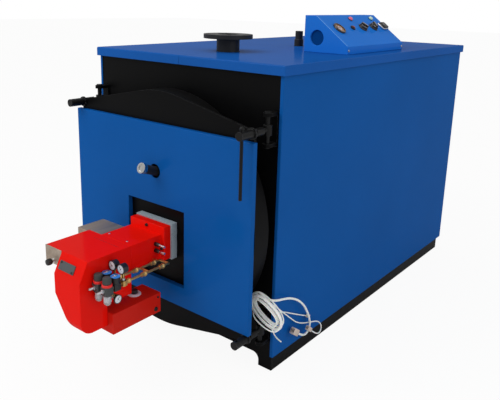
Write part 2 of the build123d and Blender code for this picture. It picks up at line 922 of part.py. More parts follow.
# Refractory lining on the back of the door
with BuildPart() as door_lining:
    with BuildSketch(facing(lining_back)):
        with Locations((0, door_z)):
            Circle(lining_radius - lining_taper)
    with BuildSketch(facing(door_back)):
        with Locations((0, door_z)):
            Circle(lining_radius)
    loft()
    with BuildSketch(facing(lining_back)):
        with Locations((0, burner_z)):
            Circle(blast_hole)
        with Locations((0, sight_start)):
            Circle(sight_radius - sight_wall)
    extrude(amount=lining_back - door_back, mode=Mode.SUBTRACT)
write(door_lining.part, "door_lining")

# Blue sheet skin on the door, with a square opening for the burner
skin_height = skin_top - skin_bottom
with BuildPart() as door_skin:
    with BuildSketch(facing(door_front)):
        with Locations((0, (skin_top + skin_bottom) / 2)):
            Rectangle(skin_width, skin_height)
    extrude(amount=door_front - skin_front)
    front_rim = door_skin.faces().sort_by(Axis.Y)[0].edges()
    fillet(front_rim, panel_bend)
    with BuildSketch(facing(door_front)):
        with Locations((0, (skin_top + skin_bottom) / 2)):
            Rectangle(skin_width - 2 * sheet, skin_height - 2 * sheet)
    extrude(amount=door_front - skin_front - sheet, mode=Mode.SUBTRACT)
    with BuildSketch(facing(door_front)):
        with Locations((0, furnace_z)):
            Rectangle(opening_size + 2 * sheet, opening_size + 2 * sheet)
    extrude(amount=door_front - skin_front - sheet)
    with BuildSketch(facing(door_front)):
        with Locations((0, furnace_z)):
            Rectangle(opening_size, opening_size)
        with Locations((0, sight_z)):
            Circle(sight_hole)
    extrude(amount=door_front - skin_front, mode=Mode.SUBTRACT)
write(door_skin.part, "door_skin")

# Sight pipe, rising towards the viewer, with a ring at its open end
sight_tilt = math.radians(sight_angle)
sight_axis = Plane(
    origin=(0, front_y + door_front, sight_start),
    x_dir=(1, 0, 0),
    z_dir=(0, -math.cos(sight_tilt), math.sin(sight_tilt)),
)
with BuildPart() as sight_pipe:
    with BuildSketch(sight_axis.offset(-sight_root)):
        Circle(sight_radius)
        Circle(sight_radius - sight_wall, mode=Mode.SUBTRACT)
    extrude(amount=sight_length - sight_ring_length + sight_root)
    split(bisect_by=facing(door_front), keep=Keep.TOP)
write(sight_pipe.part, "sight_pipe")
with BuildPart() as sight_ring:
    with BuildSketch(sight_axis.offset(sight_length - sight_ring_length)):
        Circle(sight_ring_radius)
    extrude(amount=sight_ring_length)
    with BuildSketch(sight_axis.offset(sight_length - sight_ring_length)):
        Circle(sight_radius - sight_wall)
    extrude(amount=sight_ring_length - sight_glass - sight_recess, mode=Mode.SUBTRACT)
    with BuildSketch(sight_axis.offset(sight_length)):
        Circle(sight_radius - sight_wall)
    extrude(amount=-sight_recess, mode=Mode.SUBTRACT)
write(sight_ring.part, "sight_ring")


def block(depth_back, depth_front, left, right, bottom, top):
    """Upright rectangular piece between two depths."""
    with BuildPart() as piece:
        with BuildSketch(facing(depth_back)):
            with Locations(((left + right) / 2, (bottom + top) / 2)):
                Rectangle(right - left, top - bottom)
        extrude(amount=depth_back - depth_front)
    return piece.part


# Burner mounting: insulating gasket, red flange and blast tube
with BuildPart() as burner_gasket:
    with BuildSketch(facing(door_front)):
        with Locations((0, burner_z)):
            Rectangle(gasket_width, gasket_height)
            Circle(blast_hole, mode=Mode.SUBTRACT)
    extrude(amount=door_front - gasket_front)
write(burner_gasket.part, "burner_gasket")
with BuildPart() as burner_flange:
    with BuildSketch(facing(gasket_front)):
        with Locations((0, burner_z)):
            Rectangle(flange_width, flange_height)
            Circle(blast_hole, mode=Mode.SUBTRACT)
    extrude(amount=gasket_front - flange_front)
    fillet(burner_flange.edges().filter_by(Axis.Y).group_by(SortBy.LENGTH)[-1], flange_corner)
write(burner_flange.part, "burner_flange")
write(
    ring_pipe(facing(blast_end), (0, burner_z), blast_radius, blast_wall, blast_end - flange_front),
    "blast_tube",
)

# Burner duct between the flange and the hood
write(block(flange_front, body_back, duct_left, duct_right, duct_bottom, body_top), "burner_duct")

# Burner housing: a hood with a sloped brow and a rounded chin, its lower left cut away, and a shallow wing
hood_front = -burner_reach
with BuildPart() as burner_housing:
    with BuildSketch(Plane.YZ.offset(hood_left)):
        with BuildLine():
            brow = Polyline(
                (front_y + body_back, body_top),
                (front_y + hood_slope_start, body_top),
                (front_y + hood_front, hood_slope_end),
                (front_y + hood_front, scroll_bottom + hood_chin),
            )
            chin = TangentArc(brow @ 1, (front_y + hood_front + hood_chin, scroll_bottom), tangent=(0, -1))
            Polyline(
                chin @ 1,
                (front_y + tank_front, scroll_bottom),
                (front_y + tank_front, body_bottom),
                (front_y + body_back, body_bottom),
                brow @ 0,
            )
        make_face()
    extrude(amount=duct_right - hood_left)
    with BuildSketch(facing(body_back)):
        with BuildLine():
            Polyline(
                (hood_left, scroll_cheek_z),
                (hood_left, scroll_bottom),
                (scroll_cheek_x, scroll_bottom),
                close=True,
            )
        make_face()
    extrude(amount=body_back - hood_front, mode=Mode.SUBTRACT)
    with BuildSketch(facing(body_back)):
        with Locations(((wing_left + hood_left) / 2, (wing_bottom + body_top) / 2)):
            Rectangle(hood_left - wing_left, body_top - wing_bottom)
    extrude(amount=body_back - wing_front)
write(burner_housing.part, "burner_housing")

# Dark plate on the sloped brow
brow_run = hood_slope_start - hood_front
brow_fall = body_top - hood_slope_end
brow_plane = Plane(
    origin=(0, front_y + hood_slope_start, body_top),
    x_dir=(1, 0, 0),
    z_dir=(0, -brow_fall, brow_run),
)
with BuildPart() as hood_plate:
    with BuildSketch(brow_plane):
        with Locations((hood_plate_x, -hood_plate_down)):
            RectangleRounded(hood_plate_width, hood_plate_height, hood_plate_corner)
    extrude(amount=hood_plate_steel)
write(hood_plate.part, "hood_plate")

# Pale plate on the front of the wing, with the knob of the air damper
drive_plate_front = wing_front - drive_plate_steel
write(block(wing_front, drive_plate_front, wing_left, hood_left, drive_plate_bottom, body_top), "drive_plate")
with BuildPart() as damper_knob:
    with BuildSketch(facing(drive_plate_front)):
        with Locations((damper_x, damper_z)):
            Circle(damper_neck_radius)
    extrude(amount=damper_neck)
    with BuildSketch(facing(drive_plate_front - damper_neck)):
        with Locations((damper_x, damper_z)):
            Circle(damper_radius)
    extrude(amount=damper_length)
    fillet(damper_knob.edges().filter_by(GeomType.CIRCLE).sort_by(Axis.Y)[0], moulded_edge)
write(damper_knob.part, "damper_knob")

# Ignition box on the left of the duct
ignition_top = body_top - ignition_drop
write(
    block(ignition_back, body_back + panel_bend, ignition_left, duct_left, ignition_bottom, ignition_top),
    "ignition_box",
)

# Oil tank against the back of the scroll, and its cap
write(block(tank_back, tank_front, tank_left, tank_right, tank_bottom, tank_top), "oil_tank")
with BuildPart() as tank_cap:
    for radius, height in ((cap_ring_radius, cap_ring), (cap_radius, cap_height)):
        with BuildSketch(Plane.XY.offset(tank_top)):
            with Locations((cap_x, front_y + cap_depth)):
                Circle(radius)
        extrude(amount=height)
write(tank_cap.part, "tank_cap")

# Regulators: a square block with a bowl under it, a ring and a cap over it, and a hose barb to the front
with BuildPart() as oil_regulators:
    for line_x in line_places:
        with BuildSketch(Plane.XY.offset(line_z - regulator_block_down)):
            with Locations((line_x, front_y + regulator_depth)):
                Rectangle(regulator_block, regulator_block)
        extrude(amount=regulator_block_down + regulator_block_up)
        for bottom, top, radius in regulator_steps:
            with BuildSketch(Plane.XY.offset(line_z + bottom)):
                with Locations((line_x, front_y + regulator_depth)):
                    Circle(radius)
            extrude(amount=top - bottom)
        barb_start = regulator_depth - regulator_block / 2
        with BuildSketch(facing(barb_start)):
            with Locations((line_x, line_z)):
                Circle(barb_radius)
        extrude(amount=barb_length)
        for ridge in range(1, 4):
            with BuildSketch(facing(barb_start - ridge * barb_ridge)):
                with Locations((line_x, line_z)):
                    Circle(barb_radius + barb_ridge_height)
            extrude(amount=barb_ridge / 2, taper=barb_ridge_taper)
write(oil_regulators.part, "oil_regulators")

# Solenoid valves that stand on the valve blocks of the two lines
with BuildPart() as solenoid_valves:
    for line_x in line_places:
        for bottom, top, radius in valve_steps:
            with BuildSketch(Plane.XY.offset(line_z + bottom)):
                with Locations((line_x, front_y + valve_depth)):
                    Circle(radius)
            extrude(amount=top - bottom)
write(solenoid_valves.part, "solenoid_valves")

# Gauges: two drums that face the front and a low one that faces the side
with BuildPart() as burner_gauges:
    for line_x in line_places:
        with BuildSketch(Plane.XY.offset(line_z + gauge_block / 2)):
            with Locations((line_x, front_y + gauge_depth)):
                Circle(gauge_stem_radius)
        extrude(amount=gauge_up - gauge_block / 2)
        with BuildSketch(facing(gauge_depth + gauge_length / 2)):
            with Locations((line_x, line_z + gauge_up)):
                Circle(gauge_radius)
        extrude(amount=gauge_length)
        with BuildSketch(facing(gauge_depth - gauge_length / 2)):
            with Locations((line_x, line_z + gauge_up)):
                Circle(gauge_radius - gauge_rim)
        extrude(amount=-gauge_sink, mode=Mode.SUBTRACT)
    with BuildSketch(Plane.XY.offset(line_z - low_gauge_drop)):
        with Locations((line_places[1], front_y + valve_depth)):
            Circle(gauge_stem_radius)
    extrude(amount=low_gauge_drop - valve_block / 2)
    low_gauge_plane = Plane(
        origin=(line_places[1] - low_gauge_length / 2, front_y + valve_depth, line_z - low_gauge_drop),
        z_dir=(1, 0, 0),
    )
    with BuildSketch(low_gauge_plane):
        Circle(low_gauge_radius)
    extrude(amount=low_gauge_length)
    with BuildSketch(low_gauge_plane.offset(low_gauge_length)):
        Circle(low_gauge_radius - gauge_rim)
    extrude(amount=-gauge_sink, mode=Mode.SUBTRACT)
write(burner_gauges.part, "burner_gauges")

# Brass lines: valve block, gauge block, tube with nuts, a cross link, a turn at the end and the inlet
line_start = regulator_depth + regulator_block / 2
with BuildPart() as oil_pipes:
    for line_x in line_places:
        with BuildSketch(facing(turn_depth)):
            with Locations((line_x, line_z)):
                Circle(pipe_radius)
        extrude(amount=turn_depth - line_start)
        for depth, size in ((valve_depth, valve_block), (gauge_depth, gauge_block)):
            with BuildSketch(facing(depth + size / 2)):
                with Locations((line_x, line_z)):
                    Rectangle(size, size)
            extrude(amount=size)
        for depth in nut_places:
            with BuildSketch(facing(depth)):
                with Locations((line_x, line_z)):
                    RegularPolygon(pipe_nut_radius, 6)
            extrude(amount=pipe_nut_length)
    for depth in (cross_depth, turn_depth):
        with BuildSketch(Plane.YZ.offset(line_places[0])):
            with Locations((front_y + depth, line_z)):
                Circle(pipe_radius)
        extrude(amount=line_places[1] - line_places[0])
    with BuildSketch(Plane.YZ.offset(duct_right)):
        with Locations((front_y + inlet_depth, line_z)):
            Circle(inlet_radius)
    extrude(amount=line_places[0] - duct_right)
write(oil_pipes.part, "oil_pipes")

# Two lead-in plugs on the right of the duct
with BuildPart() as burner_plugs:
    for level in lead_in_levels:
        pin_end = lead_in_length + lead_pin_length
        for radius, reach in ((lead_in_radius, lead_in_length), (lead_pin_radius, pin_end)):
            with BuildSketch(Plane.YZ.offset(duct_right)):
                with Locations((front_y + lead_in_depth, level)):
                    Circle(radius)
            extrude(amount=reach)
write(burner_plugs.part, "burner_plugs")

# Coil of white leads laid on the lower right closure bolt
coil_plane = Plane(
    origin=(coil_x, front_y + coil_depth, coil_z),
    x_dir=(math.cos(math.radians(coil_tilt)), 0, math.sin(math.radians(coil_tilt))),
    z_dir=(0, -1, 0),
)
with BuildPart() as cable_coil:
    with BuildSketch(coil_plane.offset(-coil_thick)):
        Ellipse(coil_half_length + coil_section, coil_half_height + coil_section)
        Ellipse(coil_half_length - coil_section, coil_half_height - coil_section, mode=Mode.SUBTRACT)
    extrude(amount=2 * coil_thick)
write(cable_coil.part, "cable_coil")

# Gland on the front plate behind the coil, with a tapered relief that the leads come out of
coil_back = coil_depth + coil_thick
with BuildPart() as cable_gland:
    with BuildSketch(facing(plate_front)):
        with Locations((gland_x, gland_z)):
            RegularPolygon(gland_radius, 6)
    extrude(amount=gland_base)
    with BuildSketch(facing(plate_front - gland_base)):
        with Locations((gland_x, gland_z)):
            Circle(gland_neck_radius)
    extrude(amount=plate_front - gland_base - coil_back, taper=gland_taper)
write(cable_gland.part, "cable_gland")

# Free leads beside the right panel, as (x, depth, z), each from the back of the coil to its plug or bare end
high_points = (
    (473, coil_back, 294),
    (474, 15, 287),
    (473, 70, 271),
    (473, 120, 245),
    (474, 160, 210),
    (473, 188, 172),
    (472, 206, 140),
    (472, 215, 112),
    (473, 206, 88),
    (474, 182, 79),
    (474, 154, 90),
    (473, 125, 112),
)
middle_points = (
    (460, coil_back, 287),
    (463, 0, 262),
    (463, 30, 235),
    (462, 64, 206),
    (463, 97, 177),
    (463, 135, 145),
    (462, 180, 122),
    (463, 226, 107),
    (464, 268, 95),
    (467, 290, 83),
    (470, 302, 66),
    (474, 296, 50.5),
    (478, 276, 46),
    (483, 250, 57),
    (486, 222, 76),
    (486, 196, 98),
)
low_points = (
    (486, coil_back, 232),
    (474, -10, 231),
    (462, 12, 229),
    (456, 38, 223),
    (455, 68, 211),
    (455.5, 104, 192),
    (455, 150, 168),
    (456, 190, 148),
    (457, 213, 137),
)
tail_points = (
    (446, coil_back, 222),
    (449, -13, 200),
    (456, -8, 178),
    (468, -10, 162),
    (484, -14, 154),
    (502, -17, 152),
)


def placed(points):
    return [Vector(x, front_y + depth, z) for x, depth, z in points]


def corner_radii(points):
    """Largest arc that both runs at each corner leave room for."""
    radii = []
    for before, corner, after in zip(points, points[1:], points[2:]):
        turn = math.radians((corner - before).get_angle(after - corner))
        shorter = min((corner - before).length, (after - corner).length)
        radii.append(arc_share * shorter / math.tan(turn / 2))
    return radii


for name, points, diameter in (
    ("cable_lead_high", high_points, thick_lead),
    ("cable_lead_middle", middle_points, thin_lead),
    ("cable_lead_low", low_points, thin_lead),
    ("cable_tail", tail_points, thin_lead),
):
    route = placed(points)
    radii = corner_radii(route)
    with BuildPart() as lead:
        with BuildLine() as path:
            FilletPolyline(*route, radius=radii)
        with BuildSketch(Plane(origin=route[0], z_dir=route[1] - route[0])):
            Circle(diameter / 2)
        sweep()
    wire_length = sum(edge.length for edge in path.edges())
    section = math.pi * diameter**2 / 4
    volume_ratio = lead.part.volume / section / wire_length
    print(name, "length", round(wire_length, 1), "volume ratio", round(volume_ratio, 4))
    print("  radii", [round(radius, 1) for radius in radii])
    write(lead.part, name)

# Plugs on the ends of three leads
with BuildPart() as lead_plugs:
    for points, length, width, height in (
        (high_points, plug_length, plug_width, plug_height),
        (middle_points, small_plug_length, small_plug_width, small_plug_height),
        (low_points, end_plug_length, end_plug_width, end_plug_height),
    ):
        route = placed(points)
        with BuildSketch(Plane(origin=route[-1], x_dir=(1, 0, 0), z_dir=route[-1] - route[-2])):
            RectangleRounded(width, height, plug_corner)
        extrude(amount=length)
write(lead_plugs.part, "lead_plugs")
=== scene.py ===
import json
import math

import bmesh
import bpy
from bpy.props import FloatProperty, FloatVectorProperty, IntProperty, PointerProperty
from mathutils import Matrix, Vector


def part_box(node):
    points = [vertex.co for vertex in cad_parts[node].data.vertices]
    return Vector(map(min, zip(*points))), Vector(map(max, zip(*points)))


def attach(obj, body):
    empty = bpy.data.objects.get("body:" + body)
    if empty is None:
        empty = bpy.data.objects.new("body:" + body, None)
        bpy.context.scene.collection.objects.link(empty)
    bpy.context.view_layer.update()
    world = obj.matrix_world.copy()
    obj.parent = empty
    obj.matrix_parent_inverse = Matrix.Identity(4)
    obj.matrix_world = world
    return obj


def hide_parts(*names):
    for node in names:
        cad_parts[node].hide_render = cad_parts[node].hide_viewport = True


bl_info = {
    "name": "Industrial boiler finish",
    "version": (1, 0, 0),
    "blender": (4, 5, 0),
    "location": "View3D > Sidebar > Boiler",
    "description": "Paint, metal, leads, instruments and burner details for a packed industrial boiler",
    "category": "Object",
}

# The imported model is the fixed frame. Metres, +Z up, the door faces -Y.
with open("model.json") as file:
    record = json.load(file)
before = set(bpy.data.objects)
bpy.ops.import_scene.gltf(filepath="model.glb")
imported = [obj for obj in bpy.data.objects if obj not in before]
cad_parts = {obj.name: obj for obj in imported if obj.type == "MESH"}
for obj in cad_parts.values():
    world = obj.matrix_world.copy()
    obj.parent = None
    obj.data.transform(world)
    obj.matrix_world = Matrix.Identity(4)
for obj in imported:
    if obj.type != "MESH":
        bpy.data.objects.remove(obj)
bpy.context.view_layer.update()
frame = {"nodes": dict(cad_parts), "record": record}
NODES = frame["nodes"]
SLOTS = {part["node"]: part["material_slot"] for part in frame["record"]["subparts"]}
LID_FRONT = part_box("top_panel_left")[0][1]

UP = Vector((0, 0, 1))
FRONT = Vector((0, -1, 0))
BACK = Vector((0, 1, 0))
RIGHT = Vector((1, 0, 0))


def screen(red, green, blue):
    """Scene-linear colour of a screen colour given as 0 to 255."""

    def linear(value):
        share = value / 255
        return share / 12.92 if share <= 0.04045 else ((share + 0.055) / 1.055) ** 2.4

    return (linear(red), linear(green), linear(blue))


def place(x, depth, z):
    """Point by its distance behind the lid's front edge, in metres."""
    return Vector((x, LID_FRONT + depth, z))


def middle(node):
    """Middle of a node's box."""
    low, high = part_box(node)
    return (Vector(low) + Vector(high)) / 2


# Node trees of materials and of the effects that several materials share
def put(tree, kind, sockets=None, **settings):
    """Adds a node, sets its settings, then fills its sockets with values or links."""
    made = tree.nodes.new(kind)
    for name, value in settings.items():
        setattr(made, name, value)
    for name, value in (sockets or {}).items():
        if isinstance(value, bpy.types.NodeSocket):
            tree.links.new(value, made.inputs[name])
        else:
            made.inputs[name].default_value = value
    return made


def noise(tree, where, scale, detail=2.0, roughness=0.5):
    """Noise at a scale, from 0 to 1."""
    values = {"Vector": where, "Scale": scale, "Detail": detail, "Roughness": roughness}
    return put(tree, "ShaderNodeTexNoise", values).outputs[0]


def remap(tree, value, low, high, to_low=0.0, to_high=1.0):
    """Value moved from one range to another."""
    sockets = {0: value, 1: low, 2: high, 3: to_low, 4: to_high}
    return put(tree, "ShaderNodeMapRange", sockets).outputs[0]


def sums(tree, operation, first, second):
    """Result of one sum on two values."""
    return put(tree, "ShaderNodeMath", {0: first, 1: second}, operation=operation).outputs[0]


def times(tree, first, second):
    """Product of two values."""
    return put(tree, "ShaderNodeMath", {0: first, 1: second}, operation="MULTIPLY").outputs[0]


def blend(tree, share, first, second, mode="MIX"):
    """Two colours mixed by a share."""
    sockets = {0: share, 6: first, 7: second}
    return put(tree, "ShaderNodeMix", sockets, data_type="RGBA", blend_type=mode).outputs[2]


def shaded(tree, value, colour):
    """Colour made lighter or darker by a value."""
    return put(tree, "ShaderNodeHueSaturation", {"Value": value, "Color": colour}).outputs[0]


def stretched(tree, where, scale):
    """Coordinates stretched along their axes."""
    return put(tree, "ShaderNodeMapping", {"Vector": where, "Scale": scale}).outputs[0]


def new_group(name, inputs, outputs):
    """Empty shader group with its sockets; returns its tree and the two socket lists."""
    tree = bpy.data.node_groups.new(name, "ShaderNodeTree")
    kinds = {"v": "NodeSocketVector", "f": "NodeSocketFloat", "c": "NodeSocketColor"}
    for label, kind, start in inputs:
        socket = tree.interface.new_socket(label, in_out="INPUT", socket_type=kinds[kind])
        if start is not None:
            socket.default_value = start
    for label, kind in outputs:
        tree.interface.new_socket(label, in_out="OUTPUT", socket_type=kinds[kind])
    given = tree.nodes.new("NodeGroupInput").outputs
    result = tree.nodes.new("NodeGroupOutput").inputs
    return tree, given, result


def coat_group():
    """Sprayed paint: slow shade changes, orange peel, and dust on what faces up."""
    tree, given, result = new_group(
        "sprayed_coat",
        (
            ("Vector", "v", None),
            ("Paint", "c", (0.5, 0.5, 0.5, 1)),
            ("Dust colour", "c", (0.42, 0.4, 0.36, 1)),
            ("Shade", "f", 0.1),
            ("Dust", "f", 0.2),
            ("Peel", "f", 0.3),
            ("Roughness", "f", 0.35),
        ),
        (("Color", "c"), ("Roughness", "f"), ("Height", "f")),
    )
    where = given["Vector"]
    slow = noise(tree, where, 2.6, 3.0)
    fine = noise(tree, where, 38.0, 4.0, 0.6)
    both = sums(tree, "ADD", slow, times(tree, fine, 0.25))
    lift = remap(tree, both, 0.35, 0.9, -1.0, 1.0)
    value = sums(tree, "ADD", 1.0, times(tree, lift, given["Shade"]))
    normal = put(tree, "ShaderNodeNewGeometry").outputs["Normal"]
    up = remap(tree, put(tree, "ShaderNodeSeparateXYZ", {0: normal}).outputs[2], 0.2, 0.95)
    specks = remap(tree, noise(tree, where, 160.0, 6.0, 0.75), 0.45, 0.75)
    cover = remap(tree, slow, 0.3, 0.7, 0.1, 0.5)
    film = sums(tree, "ADD", times(tree, specks, 0.6), cover)
    dust = times(tree, times(tree, up, film), given["Dust"])
    paint = shaded(tree, value, given["Paint"])
    tree.links.new(blend(tree, dust, paint, given["Dust colour"]), result["Color"])
    rough = sums(tree, "ADD", given["Roughness"], times(tree, dust, 0.45))
    rough = sums(tree, "ADD", rough, remap(tree, fine, 0.3, 0.7, -0.03, 0.04))
    tree.links.new(rough, result["Roughness"])
    peel = times(tree, noise(tree, where, 330.0, 1.0), given["Peel"])
    tree.links.new(peel, result["Height"])
    return tree


def wear_group():
    """Paint rubbed off along edges: another colour shows where the surface turns sharply."""
    tree, given, result = new_group(
        "rubbed_edges",
        (
            ("Vector", "v", None),
            ("Color", "c", (0.5, 0.5, 0.5, 1)),
            ("Bare", "c", (0.3, 0.3, 0.3, 1)),
            ("Width", "f", 0.002),
            ("Amount", "f", 0.5),
        ),
        (("Color", "c"), ("Mask", "f")),
    )
    rounded = put(tree, "ShaderNodeBevel", {"Radius": given["Width"]}, samples=4).outputs[0]
    sharp = put(tree, "ShaderNodeNewGeometry").outputs["Normal"]
    turned = put(tree, "ShaderNodeVectorMath", {0: rounded, 1: sharp}, operation="DOT_PRODUCT")
    edge = remap(tree, turned.outputs["Value"], 0.995, 0.9)
    chips = remap(tree, noise(tree, given["Vector"], 95.0, 5.0, 0.7), 0.4, 0.62)
    mask = times(tree, times(tree, edge, chips), given["Amount"])
    tree.links.new(blend(tree, mask, given["Color"], given["Bare"]), result["Color"])
    tree.links.new(mask, result["Mask"])
    return tree


def grain_group():
    """Drawn or brushed metal: long thin scratches, blotches of tarnish and a little pitting."""
    tree, given, result = new_group(
        "metal_grain",
        (
            ("Vector", "v", None),
            ("Metal", "c", (0.5, 0.5, 0.5, 1)),
            ("Tarnish", "c", (0.2, 0.2, 0.2, 1)),
            ("Tarnish share", "f", 0.4),
            ("Roughness", "f", 0.3),
        ),
        (("Color", "c"), ("Roughness", "f"), ("Height", "f")),
    )
    where = given["Vector"]
    scratch = noise(tree, where, 60.0, 3.0, 0.6)
    blotch = remap(tree, noise(tree, where, 7.0, 5.0, 0.65), 0.42, 0.68)
    share = times(tree, blotch, given["Tarnish share"])
    metal = blend(tree, share, given["Metal"], given["Tarnish"])
    light = remap(tree, scratch, 0.3, 0.7, 0.88, 1.12)
    tree.links.new(shaded(tree, light, metal), result["Color"])
    rough = sums(tree, "ADD", given["Roughness"], times(tree, share, 0.3))
    rough = sums(tree, "ADD", rough, remap(tree, scratch, 0.3, 0.7, -0.05, 0.07))
    tree.links.new(rough, result["Roughness"])
    tree.links.new(scratch, result["Height"])
    return tree


def use_group(tree, maker, name, sockets):
    """Places a shared group, made at its first use, and gives its outputs."""
    group = bpy.data.node_groups.get(name) or maker()
    return put(tree, "ShaderNodeGroup", sockets, node_tree=group).outputs


def start_material(name):
    """New material; returns it, its tree, its shader and its Object coordinates."""
    material = bpy.data.materials.new(name)
    material.use_nodes = True
    tree = material.node_tree
    where = put(tree, "ShaderNodeTexCoord").outputs["Object"]
    return material, tree, tree.nodes["Principled BSDF"], where


def join_surface(tree, shader, colour, roughness, height, depth, edge=0.0):
    """Colour, roughness and bump of a material; edge is the radius that hard edges are lit with."""
    tree.links.new(colour, shader.inputs["Base Color"])
    tree.links.new(roughness, shader.inputs["Roughness"])
    bump = put(tree, "ShaderNodeBump", {"Height": height, "Distance": depth, "Strength": 1.0})
    if edge:
        rounded = put(tree, "ShaderNodeBevel", {"Radius": edge}, samples=4).outputs[0]
        tree.links.new(rounded, bump.inputs["Normal"])
    tree.links.new(bump.outputs[0], shader.inputs["Normal"])


def opaque(colour):
    """Colour with its alpha, as sockets take it."""
    return (*colour, 1.0)


def painted(
    name, colour, roughness=0.34, shade=0.05, dust=0.0, peel=1.0, coat=0.0, bare=None, wear=0.0, shine=0.0
):
    """Painted sheet or steel, with rubbed edges where bare is given."""
    material, tree, shader, where = start_material(name)
    sockets = {"Vector": where, "Paint": opaque(colour), "Shade": shade}
    sockets |= {"Dust": dust, "Peel": peel, "Roughness": roughness}
    skin = use_group(tree, coat_group, "sprayed_coat", sockets)
    top = skin["Color"]
    if bare is not None:
        sockets = {"Vector": where, "Color": top, "Bare": opaque(bare), "Width": 0.0025, "Amount": wear}
        top = use_group(tree, wear_group, "rubbed_edges", sockets)["Color"]
    join_surface(tree, shader, top, skin["Roughness"], skin["Height"], 0.00006, edge=0.0015)
    shader.inputs["Specular IOR Level"].default_value = shine
    shader.inputs["Coat Weight"].default_value = coat
    shader.inputs["Coat Roughness"].default_value = 0.12
    return material


def metal(name, colour, tarnish, roughness=0.3, share=0.5, along=(1, 1, 1)):
    """Bare metal; along stretches its grain."""
    material, tree, shader, where = start_material(name)
    sockets = {"Vector": stretched(tree, where, along), "Metal": opaque(colour), "Tarnish": opaque(tarnish)}
    sockets |= {"Tarnish share": share, "Roughness": roughness}
    grain = use_group(tree, grain_group, "metal_grain", sockets)
    join_surface(tree, shader, grain["Color"], grain["Roughness"], grain["Height"], 0.00005, edge=0.0008)
    shader.inputs["Metallic"].default_value = 1.0
    return material


def moulded(name, colour, roughness=0.4, speckle=0.08, coat=0.0):
    """Moulded plastic or rubber with a fine spark-eroded skin."""
    material, tree, shader, where = start_material(name)
    skin = noise(tree, where, 420.0, 3.0, 0.6)
    slow = remap(tree, noise(tree, where, 24.0, 4.0), 0.3, 0.7, 1 - speckle, 1 + speckle)
    rough = remap(tree, skin, 0.3, 0.7, roughness - 0.06, roughness + 0.08)
    join_surface(tree, shader, shaded(tree, slow, opaque(colour)), rough, skin, 0.00008, edge=0.0006)
    shader.inputs["Coat Weight"].default_value = coat
    return material


def refractory(name, colour, crack, scale=16.0):
    """Cast or pressed mineral board: grains, pores and hair cracks."""
    material, tree, shader, where = start_material(name)
    grains = noise(tree, where, scale * 9, 8.0, 0.7)
    cells = {"Vector": where, "Scale": scale}
    cracks = put(tree, "ShaderNodeTexVoronoi", cells, feature="DISTANCE_TO_EDGE").outputs[0]
    wander = remap(tree, noise(tree, where, scale / 4, 3.0), 0.45, 0.6)
    seam = times(tree, remap(tree, cracks, 0.02, 0.0), wander)
    body = blend(tree, remap(tree, grains, 0.35, 0.7), opaque(colour), opaque([c * 0.72 for c in colour]))
    tone = blend(tree, seam, body, opaque(crack))
    height = sums(tree, "SUBTRACT", grains, seam)
    rough = remap(tree, grains, 0.3, 0.7, 0.8, 0.95)
    join_surface(tree, shader, tone, rough, height, 0.0004)
    return material


def sheath(name, colour, grime):
    """Soft cable sheath: slightly waxy, with handling marks."""
    material, tree, shader, where = start_material(name)
    marks = remap(tree, noise(tree, where, 55.0, 5.0, 0.7), 0.5, 0.78)
    tone = blend(tree, times(tree, marks, 0.45), opaque(colour), opaque(grime))
    fine = noise(tree, where, 700.0, 2.0)
    join_surface(tree, shader, tone, remap(tree, marks, 0.0, 1.0, 0.36, 0.5), fine, 0.00004)
    shader.inputs["Subsurface Weight"].default_value = 0.12
    shader.inputs["Subsurface Scale"].default_value = 0.002
    return material


def clear(name, colour, roughness, weight):
    """Clear plastic."""
    material, tree, shader, where = start_material(name)
    smear = remap(tree, noise(tree, where, 90.0, 4.0), 0.4, 0.8, roughness, roughness + 0.1)
    tree.links.new(smear, shader.inputs["Roughness"])
    shader.inputs["Base Color"].default_value = opaque(colour)
    shader.inputs["Transmission Weight"].default_value = weight
    shader.inputs["IOR"].default_value = 1.46
    return material


def colour_property(name, description, colour):
    """Colour that the panel shows."""
    return FloatVectorProperty(
        name=name, description=description, subtype="COLOR", size=3, min=0.0, max=1.0, default=colour
    )


def length_property(name, description, metres):
    """Length that the panel shows."""
    return FloatProperty(
        name=name, description=description, subtype="DISTANCE", unit="LENGTH", default=metres
    )


class BoilerPaints(bpy.types.PropertyGroup):
    """Colours of the boiler and its burner."""

    panel: colour_property("Panel paint", "Side panels and door skin", screen(14, 84, 158))
    lid: colour_property("Lid paint", "Two lid halves", screen(24, 86, 164))
    console: colour_property("Console paint", "Instrument console", screen(32, 116, 212))
    black: colour_property("Black paint", "Front plate, door, feet and bolts", screen(9, 9, 10))
    burner: colour_property("Burner paint", "Burner housing, duct and flange", screen(232, 20, 10))
    tank: colour_property("Tank paint", "Oil tank under the burner", screen(204, 34, 24))
    gasket: colour_property("Gasket board", "Board behind the burner flange", screen(158, 172, 182))
    lead: colour_property("Lead sheath", "White leads beside the door", screen(243, 245, 242))
    brass: colour_property("Brass", "Oil lines and their nuts", screen(208, 172, 108))


class BoilerLeads(bpy.types.PropertyGroup):
    """Sizes of the loose leads and their coil."""

    thick: length_property("Thick lead", "Diameter of the supply lead", 0.008)
    thin: length_property("Thin lead", "Diameter of the sensor leads", 0.0045)
    half_length: length_property("Coil half length", "Half of the oval coil's middle line", 0.062)
    half_height: length_property("Coil half height", "Radius of the coil's round ends", 0.032)
    steps: IntProperty(
        name="Steps a turn", description="Points in each turn of the coil", default=16, min=12
    )


